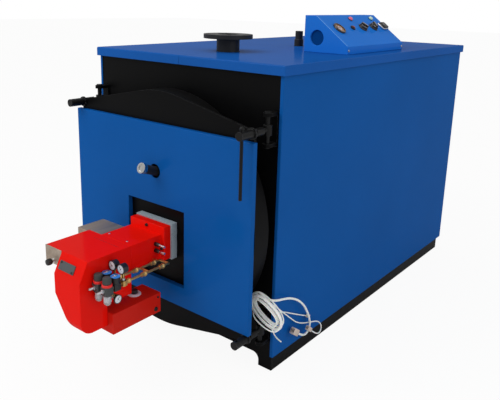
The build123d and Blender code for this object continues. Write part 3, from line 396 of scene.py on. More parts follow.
class BoilerStage(bpy.types.PropertyGroup):
    """Camera, lamps in watts, and floor."""

    lens: FloatProperty(name="Lens", description="Focal length in millimetres", default=43.5, min=10.0)
    key_power: FloatProperty(name="Key lamp", description="Power of the large lamp", default=62.0)
    fill_power: FloatProperty(name="Fill lamp", description="Power of the side lamp", default=24.0)
    world_level: FloatProperty(name="World", description="Strength of the even light", default=0.62)
    white_share: FloatProperty(
        name="White floor", description="Share of white in the seen floor", subtype="FACTOR", default=0.93
    )
    mirrored_share: FloatProperty(
        name="Mirrored white", description="Share of white in reflections", subtype="FACTOR", default=0.1
    )
    floor: colour_property("Floor", "Colour of the floor", screen(244, 244, 243))


def settings():
    """The three groups of sizes and colours."""
    scene = bpy.context.scene
    return scene.boiler_paints, scene.boiler_leads, scene.boiler_stage


def finishes():
    """Materials of the record's slots and of the scene's own details, made once."""
    paints = settings()[0]
    black = {"colour": paints.black, "bare": screen(120, 122, 126)}
    cast = {"peel": 2.5, "bare": screen(120, 122, 126), "shine": 0.3}
    red = {"roughness": 0.32, "shade": 0.04, "coat": 0.15}
    rows = (
        ("panel_blue", painted, {"colour": paints.panel, "roughness": 0.38, "shade": 0.06, "coat": 0.1}),
        ("lid_blue", painted, {"colour": paints.lid, "shade": 0.06, "coat": 0.11}),
        ("console_blue", painted, {"colour": paints.console, "roughness": 0.36, "coat": 0.15}),
        # Pale blue of the console's fold strip: painted highlight
        ("fold_highlight_blue", painted, {"colour": screen(112, 168, 236), "roughness": 0.4, "coat": 0.1}),
        # Darker blue in the console's round recess: painted shade
        ("recess_shade_blue", painted, {"colour": screen(8, 62, 124), "roughness": 0.45}),
        ("burner_red", painted, {"colour": paints.burner} | red),
        ("tank_red", painted, {"colour": paints.tank, "coat": 0.15}),
        ("frame_black", painted, black | {"roughness": 0.42, "shade": 0.2, "dust": 0.02, "peel": 2.0,
                                          "wear": 0.2, "shine": 0.06}),
        ("bolt_black", painted, black | {"roughness": 0.36, "shade": 0.25, "dust": 0.03, "peel": 1.5,
                                         "wear": 0.35, "shine": 0.2}),
        ("nozzle_black", painted, cast | {"colour": screen(26, 26, 27), "roughness": 0.5, "shade": 0.25,
                                          "dust": 0.2, "wear": 0.4}),
        ("boiler_plate", painted, cast | {"colour": screen(46, 46, 48), "roughness": 0.6, "shade": 0.3,
                                          "dust": 0.2, "peel": 3.0, "wear": 0.3}),
        ("sight_steel", painted, cast | {"colour": screen(24, 24, 25), "roughness": 0.45, "shade": 0.2,
                                         "dust": 0.1, "peel": 2.0, "wear": 0.5}),
        ("fire_steel", metal, {"colour": screen(92, 80, 72), "tarnish": screen(62, 44, 34),
                               "roughness": 0.55, "share": 0.8}),
        ("blast_steel", metal, {"colour": screen(150, 138, 122), "tarnish": screen(70, 60, 84),
                                "roughness": 0.35, "share": 0.8}),
        ("galvanised", metal, {"colour": screen(190, 176, 162), "tarnish": screen(142, 124, 108),
                               "roughness": 0.5, "along": (1, 0.06, 1)}),
        ("sight_chrome", metal, {"colour": screen(196, 196, 196), "tarnish": screen(120, 116, 108),
                                 "roughness": 0.16, "share": 0.3}),
        ("chrome", metal, {"colour": screen(214, 216, 218), "tarnish": screen(150, 150, 150),
                           "roughness": 0.12, "share": 0.2}),
        ("zinc", metal, {"colour": screen(196, 198, 202), "tarnish": screen(138, 138, 140),
                         "roughness": 0.26, "share": 0.35}),
        ("pipe_brass", metal, {"colour": paints.brass, "tarnish": screen(146, 110, 66),
                               "roughness": 0.32, "share": 0.45}),
        ("refractory", refractory, {"colour": screen(205, 196, 178), "crack": screen(96, 84, 70)}),
        ("gasket_grey", refractory, {"colour": paints.gasket, "crack": screen(96, 106, 116), "scale": 60.0}),
        ("bowl_clear", clear, {"colour": screen(236, 238, 238), "roughness": 0.08, "weight": 0.7}),
        ("cable_white", sheath, {"colour": paints.lead, "grime": screen(190, 196, 190)}),
        ("plug_white", moulded, {"colour": screen(204, 188, 176), "roughness": 0.5}),
        ("plate_grey", moulded, {"colour": screen(72, 75, 78), "roughness": 0.5}),
        ("regulator_grey", moulded, {"colour": screen(58, 60, 60), "roughness": 0.5}),
        ("cap_black", moulded, {"colour": screen(22, 20, 22)}),
        ("coil_blue", moulded, {"colour": screen(20, 20, 22)}),
        ("gauge_black", moulded, {"colour": screen(18, 18, 20), "roughness": 0.3, "coat": 0.3}),
        ("plug_black", moulded, {"colour": screen(22, 22, 23), "roughness": 0.45}),
        ("button_black", moulded, {"colour": screen(30, 24, 26)}),
        ("knob_black", moulded, {"colour": screen(24, 20, 18)}),
        ("switch_black", moulded, {"colour": screen(26, 24, 22), "roughness": 0.35}),
        ("screw_black", moulded, {"colour": screen(16, 15, 16)}),
        # Near-black of screw slots, contact slots and the duct seam: painted shade in those gaps
        ("gap_shade_black", moulded, {"colour": screen(10, 10, 11), "roughness": 0.7}),
        ("dial_bezel", moulded, {"colour": screen(58, 34, 22), "roughness": 0.3, "coat": 0.4}),
        ("bezel_dark", moulded, {"colour": screen(34, 24, 26), "roughness": 0.35, "coat": 0.3}),
        ("bezel_green", moulded, {"colour": screen(24, 66, 52), "roughness": 0.3, "coat": 0.3}),
        ("lamp_lens", moulded, {"colour": screen(226, 92, 128), "roughness": 0.2, "coat": 0.6}),
        ("lamp_green", moulded, {"colour": screen(196, 224, 206), "roughness": 0.2, "coat": 0.8}),
        ("ring_red", moulded, {"colour": screen(226, 24, 18), "roughness": 0.35}),
        ("reset_red", moulded, {"colour": screen(122, 26, 34), "roughness": 0.35}),
        ("disc_blue", moulded, {"colour": screen(28, 118, 206), "roughness": 0.35}),
        ("cap_white", moulded, {"colour": screen(218, 212, 224)}),
        # Pale marks: print on the knob skirts and the switch, painted highlight along the knob grips
        ("print_and_highlight_pale", moulded, {"colour": screen(206, 200, 190), "roughness": 0.45}),
        ("dial_white", moulded, {"colour": screen(222, 226, 230), "speckle": 0.03}),
        ("dial_amber", moulded, {"colour": screen(172, 128, 92), "speckle": 0.06}),
        ("dial_rose", moulded, {"colour": screen(214, 190, 188), "speckle": 0.05}),
        ("dial_print", moulded, {"colour": screen(18, 18, 20), "roughness": 0.5}),
    )
    made = {}
    for slot, maker, values in rows:
        name = slot + "_finish"
        made[slot] = bpy.data.materials.get(name) or maker(name, **values)
    return made


def linked(name, data):
    """New object in the scene."""
    made = bpy.data.objects.new(name, data)
    bpy.context.collection.objects.link(made)
    return made


def evaluated(carrier):
    """Plain mesh of an object with its modifiers; the object goes."""
    graph = bpy.context.evaluated_depsgraph_get()
    mesh = bpy.data.meshes.new_from_object(carrier.evaluated_get(graph), depsgraph=graph)
    bpy.data.objects.remove(carrier)
    return mesh


class Piece:
    """Collects the surfaces of one piece, each with its finish, and makes them one object."""

    def __init__(self):
        self.shape = bmesh.new()
        self.finishes = []

    def mark(self, finish, faces):
        """Gives faces their finish."""
        if finish not in self.finishes:
            self.finishes.append(finish)
        for face in faces:
            face.material_index = self.finishes.index(finish)

    def turn(self, finish, origin, axis, profile, sides=32, flutes=0, cut=0.0):
        """Round part from rows of (distance along the axis, radius), with grooves down its side."""
        to_place = Matrix.Translation(origin) @ Vector(axis).to_track_quat("Z", "Y").to_matrix().to_4x4()
        rows = [(profile[0][0], 0.0), *profile, (profile[-1][0], 0.0)]
        rings = []
        for along, radius in rows:
            if radius <= 0:
                rings.append([self.shape.verts.new(to_place @ Vector((0, 0, along)))])
                continue
            ring = []
            for side in range(sides):
                angle = 2 * math.pi * side / sides
                reach = radius - (cut if flutes and math.sin(angle * flutes) > 0.3 else 0.0)
                spot = Vector((reach * math.cos(angle), reach * math.sin(angle), along))
                ring.append(self.shape.verts.new(to_place @ spot))
            rings.append(ring)
        faces = []
        for lower, upper in zip(rings, rings[1:]):
            for side in range(sides):
                after = (side + 1) % sides
                corners = [lower[side % len(lower)], lower[after % len(lower)]]
                corners += [upper[after % len(upper)], upper[side % len(upper)]]
                kept = list(dict.fromkeys(corners))
                if len(kept) > 2:
                    faces.append(self.shape.faces.new(kept))
        self.mark(finish, faces)

    def stack(self, origin, axis, rows):
        """Round parts on one axis, from rows of turn's finish, profile and what follows."""
        for finish, *shape in rows:
            self.turn(finish, origin, axis, *shape)

    def block(self, finish, low, high, edge=0.0, turned=None):
        """Box between two corners with its edges rounded, in world or in a turned frame."""
        low, high = Vector(low), Vector(high)
        to_place = Matrix.Translation((low + high) / 2) @ Matrix.Diagonal((*(high - low), 1.0))
        corners = bmesh.ops.create_cube(self.shape, size=1.0, matrix=to_place)["verts"]
        faces = {face for corner in corners for face in corner.link_faces}
        if edge:
            edges = list({line for face in faces for line in face.edges})
            rounding = {"offset": edge, "segments": 3, "profile": 0.5, "affect": "EDGES"}
            cut = bmesh.ops.bevel(self.shape, geom=edges, **rounding)
            corners = list({corner for face in cut["faces"] for corner in face.verts})
            faces = {face for corner in corners for face in corner.link_faces}
        if turned is not None:
            bmesh.ops.transform(self.shape, matrix=turned, verts=corners)
        self.mark(finish, faces)

    def pipe(self, finish, points, radius, sides=14):
        """Round pipe along points."""
        points = [Vector(point) for point in points]
        rings = []
        side_way = None
        for index, point in enumerate(points):
            before = points[max(index - 1, 0)]
            after = points[min(index + 1, len(points) - 1)]
            run = (after - before).normalized()
            if side_way is None:
                side_way = run.orthogonal().normalized()
            side_way = (side_way - run * side_way.dot(run)).normalized()
            other = run.cross(side_way)
            ring = []
            for side in range(sides):
                angle = 2 * math.pi * side / sides
                spot = point + (side_way * math.cos(angle) + other * math.sin(angle)) * radius
                ring.append(self.shape.verts.new(spot))
            rings.append(ring)
        faces = [self.shape.faces.new(rings[0]), self.shape.faces.new(list(reversed(rings[-1])))]
        for lower, upper in zip(rings, rings[1:]):
            for side in range(sides):
                after = (side + 1) % sides
                faces.append(self.shape.faces.new((lower[side], upper[side], upper[after], lower[after])))
        self.mark(finish, faces)

    def copy(self, finish, node):
        """Merged copy of a CAD node, its flat faces whole again."""
        source = bmesh.new()
        source.from_mesh(NODES[node].data)
        bmesh.ops.remove_doubles(source, verts=source.verts, dist=0.00002)
        flat = math.radians(1.5)
        bmesh.ops.dissolve_limit(source, angle_limit=flat, verts=source.verts, edges=source.edges)
        merged = bpy.data.meshes.new(node + "_copy")
        source.to_mesh(merged)
        source.free()
        self.take(finish, merged)

    def take(self, finish, mesh):
        """Adds a mesh to the piece, and removes the mesh."""
        known = set(self.shape.faces)
        self.shape.from_mesh(mesh)
        bpy.data.meshes.remove(mesh)
        self.mark(finish, [face for face in self.shape.faces if face not in known])

    def done(self, name, body, replaced=(), bevel=0.0):
        """Makes the object; bevel rounds what is left sharp."""
        made = finishes()
        bmesh.ops.recalc_face_normals(self.shape, faces=self.shape.faces)
        for face in self.shape.faces:
            face.smooth = True
        if not bevel:
            for line in self.shape.edges:
                if line.is_manifold and line.calc_face_angle() > math.radians(35):
                    line.smooth = False
        mesh = bpy.data.meshes.new(name)
        self.shape.to_mesh(mesh)
        self.shape.free()
        for finish in self.finishes:
            mesh.materials.append(made[finish])
        piece = linked(name, mesh)
        if bevel:
            rounding = piece.modifiers.new("rounded_edges", "BEVEL")
            rounding.width = bevel
            rounding.segments = 2
            rounding.limit_method = "ANGLE"
            rounding.angle_limit = math.radians(30)
            piece.modifiers.new("flat_faces", "WEIGHTED_NORMAL")
        own(piece, body, replaced)
        return piece


def own(piece, body, replaced=()):
    """Body and replaced nodes of a finished piece."""
    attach(piece, body)
    if replaced:
        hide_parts(*replaced)


def softened(name, node, body, bevel):
    """CAD node with its edges rounded, in the node's own finish."""
    piece = Piece()
    piece.copy(SLOTS[node], node)
    return piece.done(name, body, (node,), bevel)


def frame_at(origin, along, across, facing):
    """Frame at a point, from the directions of its X, Y and Z."""
    turned = Matrix((along, across, facing)).transposed().to_4x4()
    turned.translation = origin
    return turned


# Geometry node trees for what repeats
def start_nodes(name, inputs):
    """Empty geometry tree with its named inputs."""
    tree = bpy.data.node_groups.new(name, "GeometryNodeTree")
    tree.interface.new_socket("Geometry", in_out="INPUT", socket_type="NodeSocketGeometry")
    for label, kind in inputs:
        tree.interface.new_socket(label, in_out="INPUT", socket_type="NodeSocket" + kind)
    tree.interface.new_socket("Geometry", in_out="OUTPUT", socket_type="NodeSocketGeometry")
    return tree, tree.nodes.new("NodeGroupInput").outputs, tree.nodes.new("NodeGroupOutput").inputs


def set_out(tree, points, shape, material):
    """One shape on every point, turned by the points' facing and across attributes."""
    facing = put(tree, "GeometryNodeInputNamedAttribute", {"Name": "facing"}, data_type="FLOAT_VECTOR")
    across = put(tree, "GeometryNodeInputNamedAttribute", {"Name": "across"}, data_type="FLOAT_VECTOR")
    first = put(tree, "FunctionNodeAlignRotationToVector", {"Vector": facing.outputs[0]}, axis="Z")
    sockets = {"Rotation": first.outputs[0], "Vector": across.outputs[0]}
    turn = put(tree, "FunctionNodeAlignRotationToVector", sockets, axis="X", pivot_axis="Z")
    sockets = {"Points": points, "Instance": shape, "Rotation": turn.outputs[0]}
    spread = put(tree, "GeometryNodeInstanceOnPoints", sockets)
    solid = put(tree, "GeometryNodeRealizeInstances", {"Geometry": spread.outputs[0]})
    sockets = {"Geometry": solid.outputs[0], "Material": material}
    return put(tree, "GeometryNodeSetMaterial", sockets).outputs[0]


def screw_tree():
    """Screw heads with a dark slot block that paints the shade in their recess."""
    inputs = (
        ("Radius", "Float"),
        ("Height", "Float"),
        ("Sides", "Int"),
        ("Finish", "Material"),
        ("Recess shade", "Material"),
    )
    tree, given, result = start_nodes("screw_heads", inputs)
    radius, height = given["Radius"], given["Height"]
    top = times(tree, radius, 0.78)
    sockets = {"Vertices": given["Sides"], "Radius Top": top, "Radius Bottom": radius, "Depth": height}
    head = put(tree, "GeometryNodeMeshCone", sockets)
    long, wide = times(tree, radius, 1.1), times(tree, radius, 0.24)
    size = put(tree, "ShaderNodeCombineXYZ", {0: long, 1: wide, 2: height})
    # Dark block across the head: painted shade of the screw's slot
    slot = put(tree, "GeometryNodeMeshCube", {"Size": size.outputs[0]})
    lift = put(tree, "ShaderNodeCombineXYZ", {2: times(tree, height, 0.54)})
    moved = put(tree, "GeometryNodeTransform", {"Geometry": slot.outputs[0], "Translation": lift.outputs[0]})
    heads = set_out(tree, given["Geometry"], head.outputs[0], given["Finish"])
    slots = set_out(tree, given["Geometry"], moved.outputs[0], given["Recess shade"])
    both = put(tree, "GeometryNodeJoinGeometry")
    tree.links.new(heads, both.inputs[0])
    tree.links.new(slots, both.inputs[0])
    tree.links.new(both.outputs[0], result[0])
    return tree


def bead_tree():
    """Rings of weld bead round tubes."""
    inputs = (("Ring radius", "Float"), ("Bead radius", "Float"), ("Finish", "Material"))
    tree, given, result = start_nodes("weld_beads", inputs)
    ring = put(tree, "GeometryNodeCurvePrimitiveCircle", {"Resolution": 40, "Radius": given["Ring radius"]})
    ripple = put(tree, "ShaderNodeTexNoise", {"Scale": 160.0, "Detail": 1.0})
    swell = remap(tree, ripple.outputs[0], 0.3, 0.7, 0.8, 1.2)
    uneven = put(tree, "GeometryNodeSetCurveRadius", {"Curve": ring.outputs[0], "Radius": swell})
    profile = put(tree, "GeometryNodeCurvePrimitiveCircle", {"Resolution": 8, "Radius": given["Bead radius"]})
    sockets = {"Curve": uneven.outputs[0], "Profile Curve": profile.outputs[0]}
    bead = put(tree, "GeometryNodeCurveToMesh", sockets)
    beads = set_out(tree, given["Geometry"], bead.outputs[0], given["Finish"])
    tree.links.new(beads, result[0])
    return tree


def grow(name, maker, tree_name, points, values, body):
    """Runs a tree on points given as (place, facing, across) and keeps the plain mesh."""
    tree = bpy.data.node_groups.get(tree_name) or maker()
    seed = bpy.data.meshes.new(name + "_points")
    seed.from_pydata([tuple(point[0]) for point in points], [], [])
    for index, label in ((1, "facing"), (2, "across")):
        layer = seed.attributes.new(label, "FLOAT_VECTOR", "POINT")
        for value, point in zip(layer.data, points):
            value.vector = point[index]
    carrier = linked(name + "_points", seed)
    modifier = carrier.modifiers.new(tree_name, "NODES")
    modifier.node_group = tree
    for item in tree.interface.items_tree:
        if item.in_out == "INPUT" and item.name in values:
            modifier[item.identifier] = values[item.name]
    mesh = evaluated(carrier)
    bpy.data.meshes.remove(seed)
    mesh.name = name
    piece = linked(name, mesh)
    own(piece, body)
    return piece


SCREW_SIDES = 20
SCREW_STEP = 1.1  # radians from one recess to the next


def screws(name, points, radius, height, body, finish, across=RIGHT):
    """Screw heads at (place, facing)."""
    made = finishes()
    turned = []
    for index, (spot, facing) in enumerate(points):
        side_way = Matrix.Rotation(index * SCREW_STEP, 3, Vector(facing)) @ Vector(across)
        turned.append((spot, facing, side_way))
    values = {"Radius": radius, "Height": height, "Sides": SCREW_SIDES}
    # The recess finish is the dark painted shade of the slots
    values |= {"Finish": made[finish], "Recess shade": made["gap_shade_black"]}
    return grow(name, screw_tree, "screw_heads", turned, values, body)


def lettering(text, height, thickness):
    """Mesh of a number, flat on XY and centred."""
    curve = bpy.data.curves.new("number", "FONT")
    curve.body = text
    curve.size = height
    curve.extrude = thickness / 2
    curve.align_x = "CENTER"
    curve.align_y = "CENTER"
    mesh = evaluated(linked("number", curve))
    bpy.data.curves.remove(curve)
    return mesh


SWEEP = 270.0  # degrees that a dial's scale spans
FINE_MARKS = 4  # marks from one number to the next


def dial(piece, origin, facing, up_way, radius, numbers, face_finish, pointer_turn):
    """Dial face with a scale, numbers and a pointer, lying on a round housing."""
    facing, up_way = Vector(facing).normalized(), Vector(up_way).normalized()
    turned = frame_at(origin, up_way.cross(facing), up_way, facing)
    piece.turn(face_finish, origin, facing, ((-0.0008, radius), (0.0, radius)), 40)
    print_depth = 0.0003
    spaces = (len(numbers) - 1) * FINE_MARKS
    for mark in range(spaces + 1):
        angle = math.radians(90 + SWEEP / 2 - SWEEP * mark / spaces)
        long_mark = mark % FINE_MARKS == 0
        inner, half = (radius * 0.74, radius * 0.02) if long_mark else (radius * 0.82, radius * 0.012)
        spoke = turned @ Matrix.Rotation(angle, 4, "Z")
        piece.block("dial_print", (inner, -half, 0), (radius * 0.9, half, print_depth), 0.0, spoke)
    for index, number in enumerate(numbers):
        angle = math.radians(90 + SWEEP / 2 - SWEEP * index / (len(numbers) - 1))
        mesh = lettering(number, radius * 0.26, print_depth)
        ring = radius * 0.56
        mesh.transform(Matrix.Translation((ring * math.cos(angle), ring * math.sin(angle), 0)))
        mesh.transform(turned)
        piece.take("dial_print", mesh)
    hand = turned @ Matrix.Rotation(math.radians(90 + pointer_turn), 4, "Z")
    half = radius * 0.035
    piece.block("dial_print", (-radius * 0.2, -half, 0.0006), (radius * 0.72, half, 0.0011), 0.0, hand)
    piece.turn("dial_print", origin, facing, ((0.0, radius * 0.12), (0.0016, radius * 0.1)), 16)


# Cords: the routes repeat the CAD points, as (x, depth behind the lid's front edge, z) in metres
COIL_TILT = -28.0
# Points that carry a lead from the gland into the coil, from where it leaves the gland
THICK_START = (
    (0.0, -0.013, 0.001),
    (0.0, -0.025, 0.007),
    (-0.0005, -0.031, 0.0165),
    (0.0018, -0.0325, 0.0288),
    (0.0092, -0.0325, 0.0395),
    (0.020, -0.032, 0.0467),
    (0.0365, -0.0315, 0.0508),
)
THIN_START = ((0.0, -0.014, 0.0),)
# Points from the coil to the lead's end
THICK_ROUTE = (
    (0.4435, -0.043, 0.3085),
    (0.4555, -0.0405, 0.3035),
    (0.4655, -0.033, 0.2995),
    (0.4715, -0.021, 0.296),
    (0.4738, -0.006, 0.292),
    (0.4738, 0.010, 0.288),
    (0.4735, 0.032, 0.2825),
    (0.473, 0.070, 0.271),
    (0.473, 0.120, 0.245),
    (0.474, 0.160, 0.210),
    (0.473, 0.188, 0.172),
    (0.472, 0.206, 0.140),
    (0.472, 0.215, 0.112),
    (0.473, 0.206, 0.088),
    (0.474, 0.182, 0.079),
    (0.474, 0.154, 0.090),
    (0.473, 0.125, 0.112),
)
MIDDLE_ROUTE = (
    (0.460, -0.030, 0.287),
    (0.463, 0.000, 0.262),
    (0.463, 0.030, 0.235),
    (0.462, 0.064, 0.206),
    (0.463, 0.097, 0.177),
    (0.463, 0.135, 0.145),
    (0.462, 0.180, 0.122),
    (0.463, 0.226, 0.107),
    (0.464, 0.268, 0.095),
    (0.467, 0.290, 0.083),
    (0.470, 0.302, 0.066),
    (0.474, 0.296, 0.0505),
    (0.478, 0.276, 0.046),
    (0.483, 0.250, 0.057),
    (0.486, 0.222, 0.076),
    (0.486, 0.196, 0.098),
)
LOW_ROUTE = (
    (0.486, -0.030, 0.232),
    (0.474, -0.010, 0.231),
    (0.462, 0.012, 0.229),
    (0.456, 0.038, 0.223),
    (0.455, 0.068, 0.211),
    (0.4555, 0.104, 0.192),
    (0.455, 0.150, 0.168),
    (0.456, 0.190, 0.148),
    (0.457, 0.213, 0.137),
)
TAIL_ROUTE = (
    (0.446, -0.030, 0.222),
    (0.449, -0.013, 0.200),
    (0.456, -0.008, 0.178),
    (0.468, -0.010, 0.162),
    (0.484, -0.014, 0.154),
    (0.502, -0.017, 0.152),
)


def coil_point(angle, outward, forward):
    """Point on the coil's oval, outward and forward of its middle line."""
    leads = settings()[1]
    tilt = math.radians(COIL_TILT)
    right = Vector((math.cos(tilt), 0, math.sin(tilt)))
    lift = Vector((-math.sin(tilt), 0, math.cos(tilt)))
    end_radius = leads.half_height + outward
    shift = leads.half_length - leads.half_height
    across = shift * math.sin(math.pi / 2 * math.cos(angle)) + end_radius * math.cos(angle)
    up = end_radius * math.sin(angle)
    return middle("cable_coil") + right * across + lift * up + Vector((0, -forward, 0))


# Each lead: its width in the settings, its offset in the gland's mouth, the points that lead in, the
# coil's first and last angle in degrees, its distance outside the coil's middle line, how far in front
# its first and last turn lie, how far loose turns spread and from where, its free end, the node that it
# stands for, its length and its far end
LEADS = (
    ("supply_lead", "thick", (-0.001, 0.003), THICK_START, (109, -228), 0.010, (0.0105, -0.008), (0.002, 0.4),
     THICK_ROUTE, "cable_lead_high", 0.95, "plug"),
    ("sensor_lead_long", "thin", (0.005, -0.0035), THIN_START, (212, -1315), -0.007, (0.017, -0.016),
     (0.007, 0.6), MIDDLE_ROUTE, "cable_lead_middle", 1.73, "plug"),
    ("sensor_lead_short", "thin", (-0.005, -0.0035), THIN_START, (208, -1100), -0.003, (0.0125, -0.013),
     (0.009, 2.2), LOW_ROUTE, "cable_lead_low", 1.37, "plug"),
    ("spare_lead", "thin", (0.0, -0.0065), THIN_START, (255, 1330), 0.009, (0.015, -0.0135), (0.007, 1.1),
     TAIL_ROUTE, "cable_tail", 1.27, "bare"),
)
# Plugs: length, width, height, radius of the neck and number of contacts
PLUGS = {
    "supply_lead": (0.034, 0.020, 0.024, 0.0075, 3),
    "sensor_lead_long": (0.028, 0.015, 0.016, 0.005, 2),
    "sensor_lead_short": (0.018, 0.010, 0.012, 0.004, 2),
}


def coil_turns(angles, band, layers, spread):
    """Points of a lead's turns between two angles; turns spread where nothing ties them."""
    leads = settings()[1]
    start, end = angles
    fan, phase = spread
    count = max(2, round(abs(end - start) / 360 * leads.steps))
    points = []
    for step in range(count + 1):
        share = step / count
        angle = math.radians(start + (end - start) * share)
        loose = 0.5 - 0.5 * math.sin(angle + 0.5)
        sway = fan * (0.25 + loose) * math.sin(2.1 * share * count / leads.steps + phase)
        forward = layers[0] + (layers[1] - layers[0]) * share
        points.append(coil_point(angle, band + sway, forward))
    return points


def lead_curve(name, points, diameter, material):
    """One open spline with its points as control points."""
    curve = bpy.data.curves.new(name, "CURVE")
    curve.dimensions = "3D"
    spline = curve.splines.new("NURBS")
    spline.points.add(len(points) - 1)
    for point, where in zip(spline.points, points):
        point.co = (*where, 1.0)
    spline.order_u = 3
    spline.use_endpoint_u = True
    spline.resolution_u = 6
    curve.bevel_depth = diameter / 2
    curve.bevel_resolution = 4
    curve.use_fill_caps = True
    curve.materials.append(material)
    return linked(name, curve)


class BOILER_OT_leads(bpy.types.Operator):
    """Makes the coil of white leads, their free ends and the plugs on them"""

    bl_idname = "boiler.leads"
    bl_label = "Leads"

    def execute(self, context):
        white = finishes()["cable_white"]
        low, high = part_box("cable_gland")
        mouth = Vector(((low[0] + high[0]) / 2, low[1], (low[2] + high[2]) / 2))
        for name, width, offset, begin, angles, band, layers, spread, route, node, length, far_end in LEADS:
            diameter = getattr(settings()[1], width)
            origin = mouth + Vector((offset[0], 0, offset[1]))
            points = [origin] + [origin + Vector(step) for step in begin]
            points += coil_turns(angles, band, layers, spread)
            points += [place(*point) for point in route]
            lead = lead_curve(name, points, diameter, white)
            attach(lead, "casing")
            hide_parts("cable_coil", node)
            carried = [lead_plug(name + "_plug", route, *PLUGS[name])] if name in PLUGS else []
        self.gland()
        return {"FINISHED"}

    def gland(self):
        """Cable gland: hexagon foot, domed nut and a flared mouth that the leads leave."""
        low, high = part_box("cable_gland")
        centre = middle("cable_gland")
        root = Vector((centre.x, high[1], centre.z))
        depth = high[1] - low[1]
        foot = ((0.0, 0.011), (0.001, 0.0118), (0.008, 0.0118), (0.0085, 0.011))
        nut = ((0.008, 0.010), (0.012, 0.0102), (0.024, 0.0098), (0.030, 0.0092))
        nut += ((depth - 0.004, 0.0088), (depth, 0.0094))
        piece = Piece()
        piece.stack(root, FRONT, (("plug_black", foot, 6), ("plug_black", nut, 60, 12, 0.0005)))
        piece.done("lead_gland", "casing", ("cable_gland",))


class BOILER_OT_finish(bpy.types.Operator):
    """Gives every CAD node the material of its slot"""

    bl_idname = "boiler.finish"
    bl_label = "Paint and metal"

    def execute(self, context):
        made = finishes()
        for name, node in NODES.items():
            node.data.materials.clear()
            node.data.materials.append(made[SLOTS[name]])
        return {"FINISHED"}


# Lines of the burner's oil fittings: their distance from the middle and their level
LINES = (0.090, 0.132)
LINE_LEVEL = 0.383
# Depths of the fittings behind the lid's front edge: negative, as they stand in front of it
REGULATOR_DEPTH = -0.452
VALVE_DEPTH = -0.418
GAUGE_PIPE_DEPTH = -0.386
GAUGE_BACK_DEPTH = -0.375
NUT_DEPTHS = (-0.366, -0.296, -0.214)
GAUGE_LEVEL = 0.433
GAUGE_NUMBERS = ("0", "2", "4", "6")
PLUG_LEVELS = (0.416, 0.440)
# Screws of the duct, as (x, depth), and of the tank, as (name, depth, level, radius, height)
DUCT_SCREWS = ((-0.068, -0.276), (0.032, -0.282))
TANK_SCREWS = (
    ("tank_screw", -0.204, 0.250, 0.004, 0.003),
    ("tank_plug", -0.214, 0.208, 0.0085, 0.004),
)
BROW_DOWN = Vector((0, -0.4581, -0.8889)).normalized()


class BOILER_OT_burner(bpy.types.Operator):
    """Makes the burner's housing, duct, flange, plates, tank and their screws"""

    bl_idname = "boiler.burner"
    bl_label = "Burner body"

    def execute(self, context):
        for name, node, bevel in (
            ("burner_hood", "burner_housing", 0.0022),
            ("burner_tunnel", "burner_duct", 0.0018),
            ("spark_box", "ignition_box", 0.0014),
            ("fuel_tank", "oil_tank", 0.0016),
            ("gasket_board", "burner_gasket", 0.0012),
            ("brow_plate", "hood_plate", 0.0008),
            ("wing_plate", "drive_plate", 0.0005),
        ):
            softened(name, node, "door", bevel)
        self.flange()
        self.seams()
        self.screw_rows()
        self.cap()
        return {"FINISHED"}

    def flange(self):
        """Flange plate, a little proud of the blast tube's end."""
        low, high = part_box("burner_flange")
        piece = Piece()
        piece.block("burner_red", Vector(low) + FRONT * 0.0008, high, 0.0026)
        piece.done("burner_front_flange", "door", ("burner_flange",))

    def seams(self):
        """Dark strip of painted shade in the seam's gap across the duct's top, and the folded edge along its
        foot.
        """
        low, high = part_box("burner_duct")
        top = high[2]
        seam = place(0, -0.335, 0).y
        fold = place(0, -0.306, 0).y
        piece = Piece()
        seam_low, seam_high = (-0.077, seam - 0.0004, top - 0.001), (0.051, seam + 0.0004, top + 0.0001)
        # Dark strip: painted shade in the seam's gap
        piece.block("gap_shade_black", seam_low, seam_high)
        fold_low = (low[0], fold, low[2] - 0.0006)
        fold_high = (high[0] + 0.0009, high[1], low[2] + 0.004)
        piece.block("burner_red", fold_low, fold_high, 0.0005)
        piece.done("sheet_seams", "door")

    def screw_rows(self):
        """Screws of the duct, the flange, the dark plate and the tank."""
        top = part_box("burner_duct")[1][2]
        silver = [(place(x, depth, top), UP) for x, depth in DUCT_SCREWS]
        screws("duct_screws", silver, 0.0042, 0.0012, "door", "zinc")
        low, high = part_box("burner_flange")
        centre = middle("burner_flange")
        inset = 0.011
        spots = ((centre.x, high[2] - inset), (high[0] - inset, centre.z - 0.018), (low[0] + inset, centre.z))
        black = [(Vector((x, low[1], z)), FRONT) for x, z in spots]
        screws("flange_screws", black, 0.0065, 0.006, "door", "screw_black")
        brow = middle("hood_plate")
        outward = BROW_DOWN.cross(RIGHT)
        brow_spots = []
        for side_way, drop in ((-0.031, -0.0095), (0.031, 0.0095)):
            spot = brow + RIGHT * side_way + BROW_DOWN * drop + outward * 0.0015
            brow_spots.append((spot, outward))
        screws("brow_screws", brow_spots, 0.0042, 0.0016, "door", "screw_black")
        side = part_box("oil_tank")[1][0]
        for name, depth, level, radius, height in TANK_SCREWS:
            spot = [(place(side, depth, level), RIGHT)]
            screws(name, spot, radius, height, "door", "screw_black", across=UP)

    def cap(self):
        """Tank cap: a black fluted cap in a white ring."""
        low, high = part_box("tank_cap")
        centre = middle("tank_cap")
        foot = Vector((centre.x, centre.y, low[2]))
        piece = Piece()
        rim = (high[0] - low[0]) / 2
        top = high[2] - low[2]
        ring = ((0.0, rim), (0.0035, rim), (0.0055, rim - 0.0025), (0.006, rim - 0.007))
        ring += ((0.0045, rim - 0.009),)
        body = ((0.004, 0.0105), (0.0055, 0.0128), (top - 0.003, 0.0128), (top - 0.001, 0.0118), (top, 0.008))
        piece.stack(foot, UP, (("cap_white", ring, 48), ("cap_black", body, 72, 24, 0.0006)))
        piece.done("filler_cap", "door", ("tank_cap",))


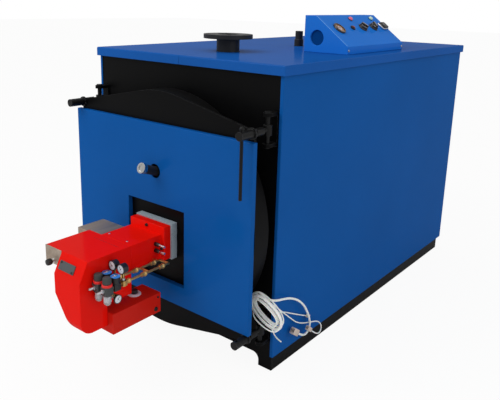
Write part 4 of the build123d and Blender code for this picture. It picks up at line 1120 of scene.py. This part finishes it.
class BOILER_OT_fittings(bpy.types.Operator):
    """Makes the regulators, solenoid valves, gauges, pipe nuts and plugs of the burner"""

    bl_idname = "boiler.fittings"
    bl_label = "Burner fittings"

    def execute(self, context):
        self.regulators()
        self.valves()
        self.gauges()
        self.pipes()
        self.plugs()
        self.knob()
        return {"FINISHED"}

    def regulators(self):
        """Oil regulators: a clear bowl under a grey head with a red ring, and a hose barb."""
        bowl = ((-0.053, 0.004), (-0.051, 0.0075), (-0.046, 0.0112), (-0.040, 0.0126), (-0.020, 0.013))
        bowl += ((-0.017, 0.013),)
        drain = ((-0.053, 0.0045), (-0.0525, 0.006), (-0.048, 0.0105), (-0.0445, 0.0122), (-0.044, 0.008))
        filter_rows = ((-0.042, 0.006), (-0.040, 0.0085), (-0.022, 0.0085), (-0.018, 0.006))
        collar = ((-0.019, 0.0138), (-0.016, 0.0142), (-0.013, 0.0142))
        ring = ((0.0115, 0.0155), (0.0125, 0.017), (0.0195, 0.017), (0.0205, 0.0158))
        cap = ((0.020, 0.0138), (0.022, 0.0145), (0.039, 0.0136), (0.042, 0.0118), (0.043, 0.009))
        barb = [(0.006, 0.0036)]
        for step in range(3):
            start = 0.0085 + step * 0.005
            barb += [(start, 0.0036), (start + 0.0005, 0.0046), (start + 0.0044, 0.0034)]
        piece = Piece()
        for line in LINES:
            foot = place(line, REGULATOR_DEPTH, LINE_LEVEL)
            low, high = foot + Vector((-0.015, -0.015, -0.017)), foot + Vector((0.015, 0.015, 0.0125))
            rows = (("bowl_clear", bowl, 32), ("zinc", drain, 6), ("cap_white", filter_rows, 20))
            piece.stack(foot, UP, rows)
            piece.block("regulator_grey", low, high, 0.003)
            rows = (("regulator_grey", collar, 36), ("ring_red", ring, 96, 24, 0.0007))
            piece.stack(foot, UP, (*rows, ("regulator_grey", cap, 96, 20, 0.0008)))
            nut = ((-0.001, 0.0072), (0.0052, 0.0072), (0.006, 0.0062))
            piece.stack(foot + FRONT * 0.015, FRONT, (("zinc", nut, 6), ("zinc", barb, 24)))
        piece.done("filter_regulators", "door", ("oil_regulators",))

    def valves(self):
        """Solenoid valves: a square body, a coil with its plug, and a disc under a nut."""
        coil = ((0.0105, 0.0125), (0.012, 0.014), (0.030, 0.014), (0.033, 0.0132))
        disc = ((0.033, 0.0145), (0.0337, 0.016), (0.0353, 0.016), (0.036, 0.0148))
        nut = ((0.0355, 0.0055), (0.0375, 0.0055), (0.039, 0.004))
        blocks = (
            ("zinc", (-0.002, -0.0135, 0.0355), (0.002, 0.0135, 0.0368), 0.0004),
            ("coil_blue", (-0.006, 0.010, 0.014), (0.006, 0.0159, 0.028), 0.001),
        )
        piece = Piece()
        for line in LINES:
            foot = place(line, VALVE_DEPTH, LINE_LEVEL)
            low, high = foot + Vector((-0.0128, -0.0132, -0.0125)), foot + Vector((0.0128, 0.0132, 0.0115))
            piece.block("coil_blue", low, high, 0.002)
            piece.turn("pipe_brass", foot + FRONT * 0.0148, BACK, ((0.0, 0.0075), (0.004, 0.0075)), 6)
            piece.stack(foot, UP, (("coil_blue", coil, 40), ("disc_blue", disc, 40), ("zinc", nut, 6)))
            for finish, low, high, edge in blocks:
                piece.block(finish, foot + Vector(low), foot + Vector(high), edge)
        piece.done("solenoids", "door", ("solenoid_valves",))

    def gauges(self):
        """Two gauges over the lines, and the bright one on its bent pipe."""
        block = ((-0.009, 0.0105), (0.009, 0.0105))
        stem = ((0.009, 0.004), (0.036, 0.004))
        nut = ((0.009, 0.0068), (0.017, 0.0068))
        drum = ((0.0, 0.015), (0.0015, 0.0165), (0.019, 0.017), (0.0215, 0.017), (0.022, 0.0162))
        drum += ((0.022, 0.0145), (0.0205, 0.0145))
        piece = Piece()
        for line in LINES:
            back = place(line, GAUGE_BACK_DEPTH, GAUGE_LEVEL)
            rows = (("pipe_brass", block, 8), ("pipe_brass", stem, 20), ("zinc", nut, 6))
            piece.stack(place(line, GAUGE_PIPE_DEPTH, LINE_LEVEL), UP, rows)
            piece.turn("gauge_black", back, FRONT, drum, 48)
            dial(piece, back + FRONT * 0.0212, FRONT, UP, 0.0144, GAUGE_NUMBERS, "dial_white", 40.0)
        start = place(0.117, -0.418, 0.341)
        body = ((0.0, 0.011), (0.002, 0.0135), (0.0185, 0.0138), (0.019, 0.0145))
        rim = ((0.0185, 0.0145), (0.0195, 0.015), (0.0255, 0.015), (0.0262, 0.0142), (0.0262, 0.0128))
        rim += ((0.025, 0.0128),)
        piece.stack(start, RIGHT, (("chrome", body, 48), ("gauge_black", rim, 48)))
        dial(piece, start + RIGHT * 0.0256, RIGHT, UP, 0.0127, GAUGE_NUMBERS, "dial_white", -30.0)
        bend = (place(0.132, -0.436, 0.372), place(0.131, -0.430, 0.358), place(0.127, -0.421, 0.346))
        piece.pipe("pipe_brass", bend, 0.0042)
        piece.done("pressure_gauges", "door", ("burner_gauges",))

    def pipes(self):
        """Hexagon nuts and collars over the round ones of the oil lines."""
        nut = ((-0.0068, 0.0084), (-0.006, 0.0092), (0.001, 0.0092), (0.002, 0.0084))
        collar = ((0.0018, 0.0078), (0.0072, 0.0072), (0.0076, 0.0056))
        piece = Piece()
        for line in LINES:
            for depth in NUT_DEPTHS:
                spot = place(line, depth, LINE_LEVEL)
                piece.stack(spot, FRONT, (("pipe_brass", nut, 6), ("pipe_brass", collar, 24)))
        piece.done("line_nuts", "door")

    def plugs(self):
        """Ignition and sensor plugs: black boots on bright sleeves, in the duct's side."""
        boot = ((0.0, 0.0064), (0.001, 0.007), (0.020, 0.0066), (0.022, 0.0055))
        sleeve = ((0.0215, 0.0045), (0.042, 0.0045), (0.0425, 0.0038), (0.0478, 0.0038))
        nut = ((0.030, 0.0054), (0.034, 0.0054))
        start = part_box("burner_plugs")[0][0]
        piece = Piece()
        for level in PLUG_LEVELS:
            rows = (("screw_black", boot, 40, 10, 0.0005), ("chrome", sleeve, 24), ("chrome", nut, 6))
            piece.stack(place(start, -0.190, level), RIGHT, rows)
        piece.done("spark_plugs", "door", ("burner_plugs",))

    def knob(self):
        """Air knob: a fluted black grip on a bright spindle."""
        centre = middle("damper_knob")
        root = Vector((centre.x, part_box("damper_knob")[1][1], centre.z))
        spindle = ((0.0, 0.0075), (0.002, 0.0075), (0.0025, 0.0053), (0.012, 0.0053))
        grip = ((0.0095, 0.0075), (0.0105, 0.0095), (0.013, 0.0108), (0.023, 0.011), (0.027, 0.0098))
        grip += ((0.029, 0.006),)
        piece = Piece()
        piece.stack(root, FRONT, (("chrome", spindle, 24), ("plug_black", grip, 60, 12, 0.0007)))
        piece.done("air_knob", "door", ("damper_knob",))


# The console's slope: its angle, its upper front corner, and its directions
CONSOLE_TURN = math.atan2(0.112, 0.148)
CONSOLE_START = (0.233, 0.526, 1.220)
DOWN_SLOPE = Vector((math.cos(CONSOLE_TURN), 0, -math.sin(CONSOLE_TURN)))
UP_SLOPE = Vector((-math.cos(CONSOLE_TURN), 0, math.sin(CONSOLE_TURN)))
OFF_SLOPE = Vector((math.sin(CONSOLE_TURN), 0, math.cos(CONSOLE_TURN)))
# Spots on the slope: rows by their distance down it, the rest by their distance along it
DIAL_ROW = 0.082
LAMP_ROW = 0.027
THERMOMETER_ALONG = 0.071
RESET_ALONG = 0.178
SWITCH_ALONG = 0.446
LAMPS = ((0.232, "lamp_lens", "bezel_dark"), (0.412, "lamp_green", "bezel_green"))
KNOBS = ((0.266, 35.0), (0.359, -20.0))  # the second value is the turn in degrees
BOILER_NUMBERS = ("0", "20", "40", "60", "80", "100", "120")


def console_spot(down, along):
    """Point on the console's slope, by the distances down it and along it."""
    return place(*CONSOLE_START) + DOWN_SLOPE * down + BACK * along


class BOILER_OT_console(bpy.types.Operator):
    """Makes the control console with its dial, lamps, knobs and switch"""

    bl_idname = "boiler.console"
    bl_label = "Control console"

    def execute(self, context):
        softened("console_case", "console_housing", "casing", 0.0034)
        self.thermometer()
        self.lamps()
        self.knobs()
        self.reset()
        self.switch()
        self.sheet()
        return {"FINISHED"}

    def thermometer(self):
        """Thermometer with an amber face and a rose middle."""
        piece = Piece()
        spot = console_spot(DIAL_ROW, THERMOMETER_ALONG)
        rim = ((0.0, 0.0288), (0.0045, 0.0288), (0.0068, 0.0272), (0.0068, 0.0238), (0.0032, 0.0235))
        piece.turn("bezel_dark", spot, OFF_SLOPE, rim, 56)
        face = spot + OFF_SLOPE * 0.0038
        dial(piece, face, OFF_SLOPE, UP_SLOPE, 0.0239, BOILER_NUMBERS, "dial_amber", 60.0)
        piece.turn("dial_rose", spot + OFF_SLOPE * 0.0039, OFF_SLOPE, ((0.0, 0.0112), (0.0003, 0.0112)), 28)
        piece.done("boiler_thermometer", "casing", ("thermometer",))

    def lamps(self):
        """Signal lamps: fluted domes in low collars."""
        rim = ((0.0, 0.011), (0.0022, 0.011), (0.003, 0.0102), (0.003, 0.009))
        dome = [(0.002, 0.0096)]
        for step in range(6):
            turn = math.radians(step * 15)
            dome.append((0.0050 + 0.0060 * math.sin(turn), 0.0096 * math.cos(turn)))
        piece = Piece()
        for along, lens, collar in LAMPS:
            rows = ((collar, rim, 36), (lens, dome, 36, 12, 0.0003))
            piece.stack(console_spot(LAMP_ROW, along), OFF_SLOPE, rows)
        piece.done("lamps", "casing", ("signal_lamps",))

    def knobs(self):
        """Thermostat knobs: a skirt with printed marks, and a grip with a pale line of painted highlight
        along its top.
        """
        skirt = ((0.0, 0.0205), (0.002, 0.0212), (0.004, 0.0206), (0.0055, 0.0188), (0.0125, 0.0176))
        skirt += ((0.0135, 0.0166),)
        plate, disc = ((0.0, 0.0158), (0.0008, 0.0156)), ((0.0, 0.0140), (0.0014, 0.0138))
        piece = Piece()
        for along, turn in KNOBS:
            spot = console_spot(DIAL_ROW, along)
            piece.turn("knob_black", spot, OFF_SLOPE, skirt, 56)
            turned = frame_at(spot, UP_SLOPE.cross(OFF_SLOPE), UP_SLOPE, OFF_SLOPE)
            grip = turned @ Matrix.Rotation(math.radians(turn), 4, "Z")
            rows = (("zinc", plate, 48), ("knob_black", disc, 48))
            piece.stack(spot + OFF_SLOPE * 0.0132, OFF_SLOPE, rows)
            piece.block("knob_black", (-0.0056, -0.0165, 0.005), (0.0056, 0.0165, 0.0205), 0.0024, grip)
            # Pale line along the grip's top: painted highlight
            piece.block("print_and_highlight_pale", (-0.0011, -0.0135, 0.0203), (0.0011, 0.0140, 0.0208), 0.0, grip)
            for mark in range(11):
                tick = turned @ Matrix.Rotation(math.radians(225 - 27 * mark), 4, "Z")
                piece.block("print_and_highlight_pale", (0.0175, -0.0003, 0.0030), (0.0200, 0.0003, 0.0048), 0.0, tick)
        piece.done("thermostats", "casing", ("thermostat_knobs",))

    def reset(self):
        """Reset button in its fluted collar."""
        collar = ((0.0, 0.011), (0.006, 0.011), (0.007, 0.0098), (0.007, 0.0076))
        button = ((0.006, 0.0052), (0.009, 0.005), (0.0098, 0.004))
        rows = (("button_black", collar, 48, 16, 0.0005), ("reset_red", button, 32))
        piece = Piece()
        piece.stack(console_spot(DIAL_ROW, RESET_ALONG), OFF_SLOPE, rows)
        piece.done("overheat_reset", "casing", ("reset_button",))

    def switch(self):
        """Main switch: a black rocker in a bright frame."""
        turned = frame_at(console_spot(DIAL_ROW, SWITCH_ALONG), DOWN_SLOPE, BACK, OFF_SLOPE)
        piece = Piece()
        piece.block("zinc", (-0.0205, -0.023, 0), (0.0205, 0.023, 0.009), 0.003, turned)
        piece.block("switch_black", (-0.0178, -0.0205, 0.004), (0.0178, 0.0205, 0.0165), 0.0055, turned)
        piece.block("print_and_highlight_pale", (-0.0008, -0.014, 0.0163), (0.0008, -0.004, 0.0168), 0.0, turned)
        piece.done("mains_switch", "casing", ("main_switch",))

    def sheet(self):
        """Round recess in the console's front end, lined with a darker blue of painted shade, a pale strip of
        painted highlight along the fold over it, and the side's screws.
        """
        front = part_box("console_housing")[0][1]
        piece = Piece()
        ring = ((-0.0005, 0.0296), (0.001, 0.0296), (0.0014, 0.0288), (0.0014, 0.0272), (0.0006, 0.0266))
        # The recess is lined with a darker blue: painted shade
        piece.turn("recess_shade_blue", Vector((0.241, front + 0.008, 1.135)), FRONT, ring, 56)
        piece.done("console_recess_shade", "casing")
        piece = Piece()
        turned = frame_at(console_spot(0.0, 0.0), DOWN_SLOPE, BACK, OFF_SLOPE)
        # Pale strip along the fold between the front end and the slope: painted highlight
        piece.block("fold_highlight_blue", (0.004, 0.0004, -0.0006), (0.181, 0.0034, 0.0006), 0.0004, turned)
        piece.done("console_fold_highlight", "casing")
        spots = [(place(0.381, depth, 1.092), RIGHT) for depth in (0.534, 1.002)]
        screws("console_screws", spots, 0.0052, 0.0022, "casing", "zinc", across=UP)


BACK_SCREWS = (0.428, (0.10, 0.34, 0.58, 0.82, 1.03))  # distance from the middle, levels
FURNACE_LEVEL = 0.410
TUBE_ROWS = ((0.265, 5, 30.0), (0.345, 7, 22.0))  # radius round the furnace, tubes, degrees apart
FLOW_DEPTH = 0.272


class BOILER_OT_casing(bpy.types.Operator):
    """Makes the screws of the casing's back, and the weld beads"""

    bl_idname = "boiler.casing"
    bl_label = "Casing details"

    def execute(self, context):
        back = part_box("back_panel")[1][1]
        reach, levels = BACK_SCREWS
        spots = [(Vector((side * reach, back, level)), BACK) for side in (-1, 1) for level in levels]
        screws("back_screws", spots, 0.0052, 0.0022, "casing", "zinc")
        self.beads()
        return {"FINISHED"}

    def beads(self):
        """Weld beads round the smoke tubes, the furnace mouth and the flow nozzle."""
        made = finishes()
        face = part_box("front_tube_plate")[0][1]
        tubes = []
        for row_radius, count, step in TUBE_ROWS:
            for index in range(count):
                angle = math.radians((index - (count - 1) / 2) * step)
                across, up = row_radius * math.sin(angle), row_radius * math.cos(angle)
                tubes.append((Vector((across, face, FURNACE_LEVEL + up)), FRONT, RIGHT))
        mouth = [(Vector((0, face, FURNACE_LEVEL)), FRONT, RIGHT)]
        neck = [(place(0, FLOW_DEPTH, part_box("flow_nozzle")[1][2] - 0.0185), UP, RIGHT)]
        for name, points, ring, bead, finish in (
            ("tube_welds", tubes, 0.0278, 0.0022, "fire_steel"),
            ("furnace_weld", mouth, 0.1945, 0.0045, "fire_steel"),
            ("nozzle_weld", neck, 0.0445, 0.003, "nozzle_black"),
        ):
            values = {"Ring radius": ring, "Bead radius": bead, "Finish": made[finish]}
            grow(name, bead_tree, "weld_beads", points, values, "casing")


def lead_plug(name, route, length, width, height, neck, slots):
    """Plug block with a tapered neck and contact slots painted as dark blocks of shade, at the end of a
    lead's route.
    """
    end, before = place(*route[-1]), place(*route[-2])
    run = (end - before).normalized()
    rise = (UP - run * UP.dot(run)).normalized()
    turned = frame_at(end, run, rise.cross(run), rise)
    piece = Piece()
    edge = min(width, height) * 0.14
    piece.block("plug_white", (0, -width / 2, -height / 2), (length, width / 2, height / 2), edge, turned)
    step = width / (slots + 1)
    for index in range(slots):
        across = -width / 2 + step * (index + 1)
        low = (length - 0.002, across - step * 0.28, -height * 0.28)
        high = (length + 0.0002, across + step * 0.28, height * 0.28)
        # Dark block: painted shade in a contact slot
        piece.block("gap_shade_black", low, high, 0.0, turned)
    for index in range(3):
        start = length * (0.2 + 0.12 * index)
        low = (start, -width / 2 - 0.0004, -height * 0.3)
        high = (start + length * 0.05, width / 2 + 0.0004, height * 0.3)
        piece.block("plug_white", low, high, 0.0003, turned)
    profile = ((-0.010, neck * 0.62), (-0.006, neck * 0.7), (0.0, neck), (0.001, neck))
    piece.turn("plug_white", end, run, profile, 24)
    return piece.done(name, "casing", ("lead_plugs",))


def seen_share(tree, stage):
    """Light path, and how white a place is: full for the camera, a share for reflections."""
    path = put(tree, "ShaderNodeLightPath").outputs
    mirrored = times(tree, path["Is Glossy Ray"], stage.mirrored_share)
    return path, sums(tree, "MAXIMUM", path["Is Camera Ray"], mirrored)


CAMERA_PLACE = (1.5211, -2.1302, 1.2682)
CAMERA_HEADING = 39.2
CAMERA_PITCH = -14.34
CAMERA_ROLL = 1.31
CAMERA_SHIFT = (0.0336, -0.0894)


class BOILER_OT_stage(bpy.types.Operator):
    """Makes the camera, the lamps and the pale floor"""

    bl_idname = "boiler.stage"
    bl_label = "Stage"

    def execute(self, context):
        stage = settings()[2]
        scene = bpy.context.scene
        scene.view_settings.view_transform = "Standard"
        camera = bpy.data.objects.new("camera", bpy.data.cameras.new("camera"))
        scene.collection.objects.link(camera)
        camera.data.lens = stage.lens
        camera.data.shift_x, camera.data.shift_y = CAMERA_SHIFT
        heading = Matrix.Rotation(math.radians(CAMERA_HEADING), 4, "Z")
        pitch = Matrix.Rotation(math.radians(90 + CAMERA_PITCH), 4, "X")
        roll = Matrix.Rotation(math.radians(CAMERA_ROLL), 4, "Z")
        camera.matrix_world = Matrix.Translation(CAMERA_PLACE) @ heading @ pitch @ roll
        scene.camera = camera
        self.lamps(stage)
        self.floor(stage)
        self.world(stage)
        return {"FINISHED"}

    def lamps(self, stage):
        """Key lamp at the front left and fill lamp at the right."""
        aim = Vector((0.0, 0.0, 0.6))
        rows = (
            ("key_lamp", stage.key_power, (-1.2, -2.8, 3.4), 2.6),
            ("fill_lamp", stage.fill_power, (4.2, -0.8, 2.2), 2.4),
        )
        for name, power, spot, size in rows:
            data = bpy.data.lights.new(name, "AREA")
            data.energy = power
            data.size = size
            lamp = bpy.data.objects.new(name, data)
            lamp.location = spot
            lamp.rotation_euler = (aim - Vector(spot)).to_track_quat("-Z", "Y").to_euler()
            bpy.context.scene.collection.objects.link(lamp)

    def floor(self, stage):
        """Pale floor that the camera sees as nearly white."""
        half = 30.0
        mesh = bpy.data.meshes.new("floor")
        corners = [(-half, -half, 0), (half, -half, 0), (half, half, 0), (-half, half, 0)]
        mesh.from_pydata(corners, [], [(0, 1, 2, 3)])
        material, tree, shader, where = start_material("floor")
        shade = remap(tree, noise(tree, where, 0.8, 3.0), 0.3, 0.7, 0.97, 1.0)
        tone = shaded(tree, shade, opaque(stage.floor))
        tree.links.new(tone, shader.inputs["Base Color"])
        shader.inputs["Roughness"].default_value = 0.7
        seen = seen_share(tree, stage)[1]
        white = put(tree, "ShaderNodeEmission", {"Color": (1, 1, 1, 1), "Strength": 1.0}).outputs[0]
        share = times(tree, seen, stage.white_share)
        mixed = put(tree, "ShaderNodeMixShader", {0: share, 1: shader.outputs[0], 2: white}).outputs[0]
        tree.links.new(mixed, tree.nodes["Material Output"].inputs["Surface"])
        mesh.materials.append(material)
        floor = bpy.data.objects.new("floor", mesh)
        bpy.context.scene.collection.objects.link(floor)

    def world(self, stage):
        """Even light, and white where the camera or a reflection looks past the object."""
        world = bpy.data.worlds.new("studio")
        world.use_nodes = True
        tree = world.node_tree
        path, seen = seen_share(tree, stage)
        seen = sums(tree, "MAXIMUM", seen, path["Is Transmission Ray"])
        strength = remap(tree, seen, 0.0, 1.0, stage.world_level, 1.0)
        background = tree.nodes["Background"]
        background.inputs["Color"].default_value = (1.0, 1.0, 1.0, 1.0)
        tree.links.new(strength, background.inputs["Strength"])
        bpy.context.scene.world = world


OPERATORS = (
    BOILER_OT_finish,
    BOILER_OT_leads,
    BOILER_OT_burner,
    BOILER_OT_fittings,
    BOILER_OT_console,
    BOILER_OT_casing,
    BOILER_OT_stage,
)


class BOILER_PT_panel(bpy.types.Panel):
    """Lists the steps that dress the boiler"""

    bl_idname = "BOILER_PT_panel"
    bl_label = "Industrial boiler"
    bl_space_type = "VIEW_3D"
    bl_region_type = "UI"
    bl_category = "Boiler"

    def draw(self, context):
        for operator in OPERATORS:
            self.layout.operator(operator.bl_idname)
        for group in settings():
            for name in group.bl_rna.properties.keys():
                if name not in ("rna_type", "name"):
                    self.layout.prop(group, name)


GROUPS = (
    ("boiler_paints", BoilerPaints),
    ("boiler_leads", BoilerLeads),
    ("boiler_stage", BoilerStage),
)


def register():
    """Adds the settings, the steps and the panel."""
    for name, group in GROUPS:
        bpy.utils.register_class(group)
        setattr(bpy.types.Scene, name, PointerProperty(type=group))
    for operator in OPERATORS:
        bpy.utils.register_class(operator)
    bpy.utils.register_class(BOILER_PT_panel)


def unregister():
    """Takes them away again."""
    bpy.utils.unregister_class(BOILER_PT_panel)
    for operator in reversed(OPERATORS):
        bpy.utils.unregister_class(operator)
    for name, group in reversed(GROUPS):
        delattr(bpy.types.Scene, name)
        bpy.utils.unregister_class(group)


def main():
    """Runs the steps."""
    register()
    for operator in OPERATORS:
        section, action = operator.bl_idname.split(".")
        getattr(getattr(bpy.ops, section), action)()


if __name__ == "__main__":
    main()
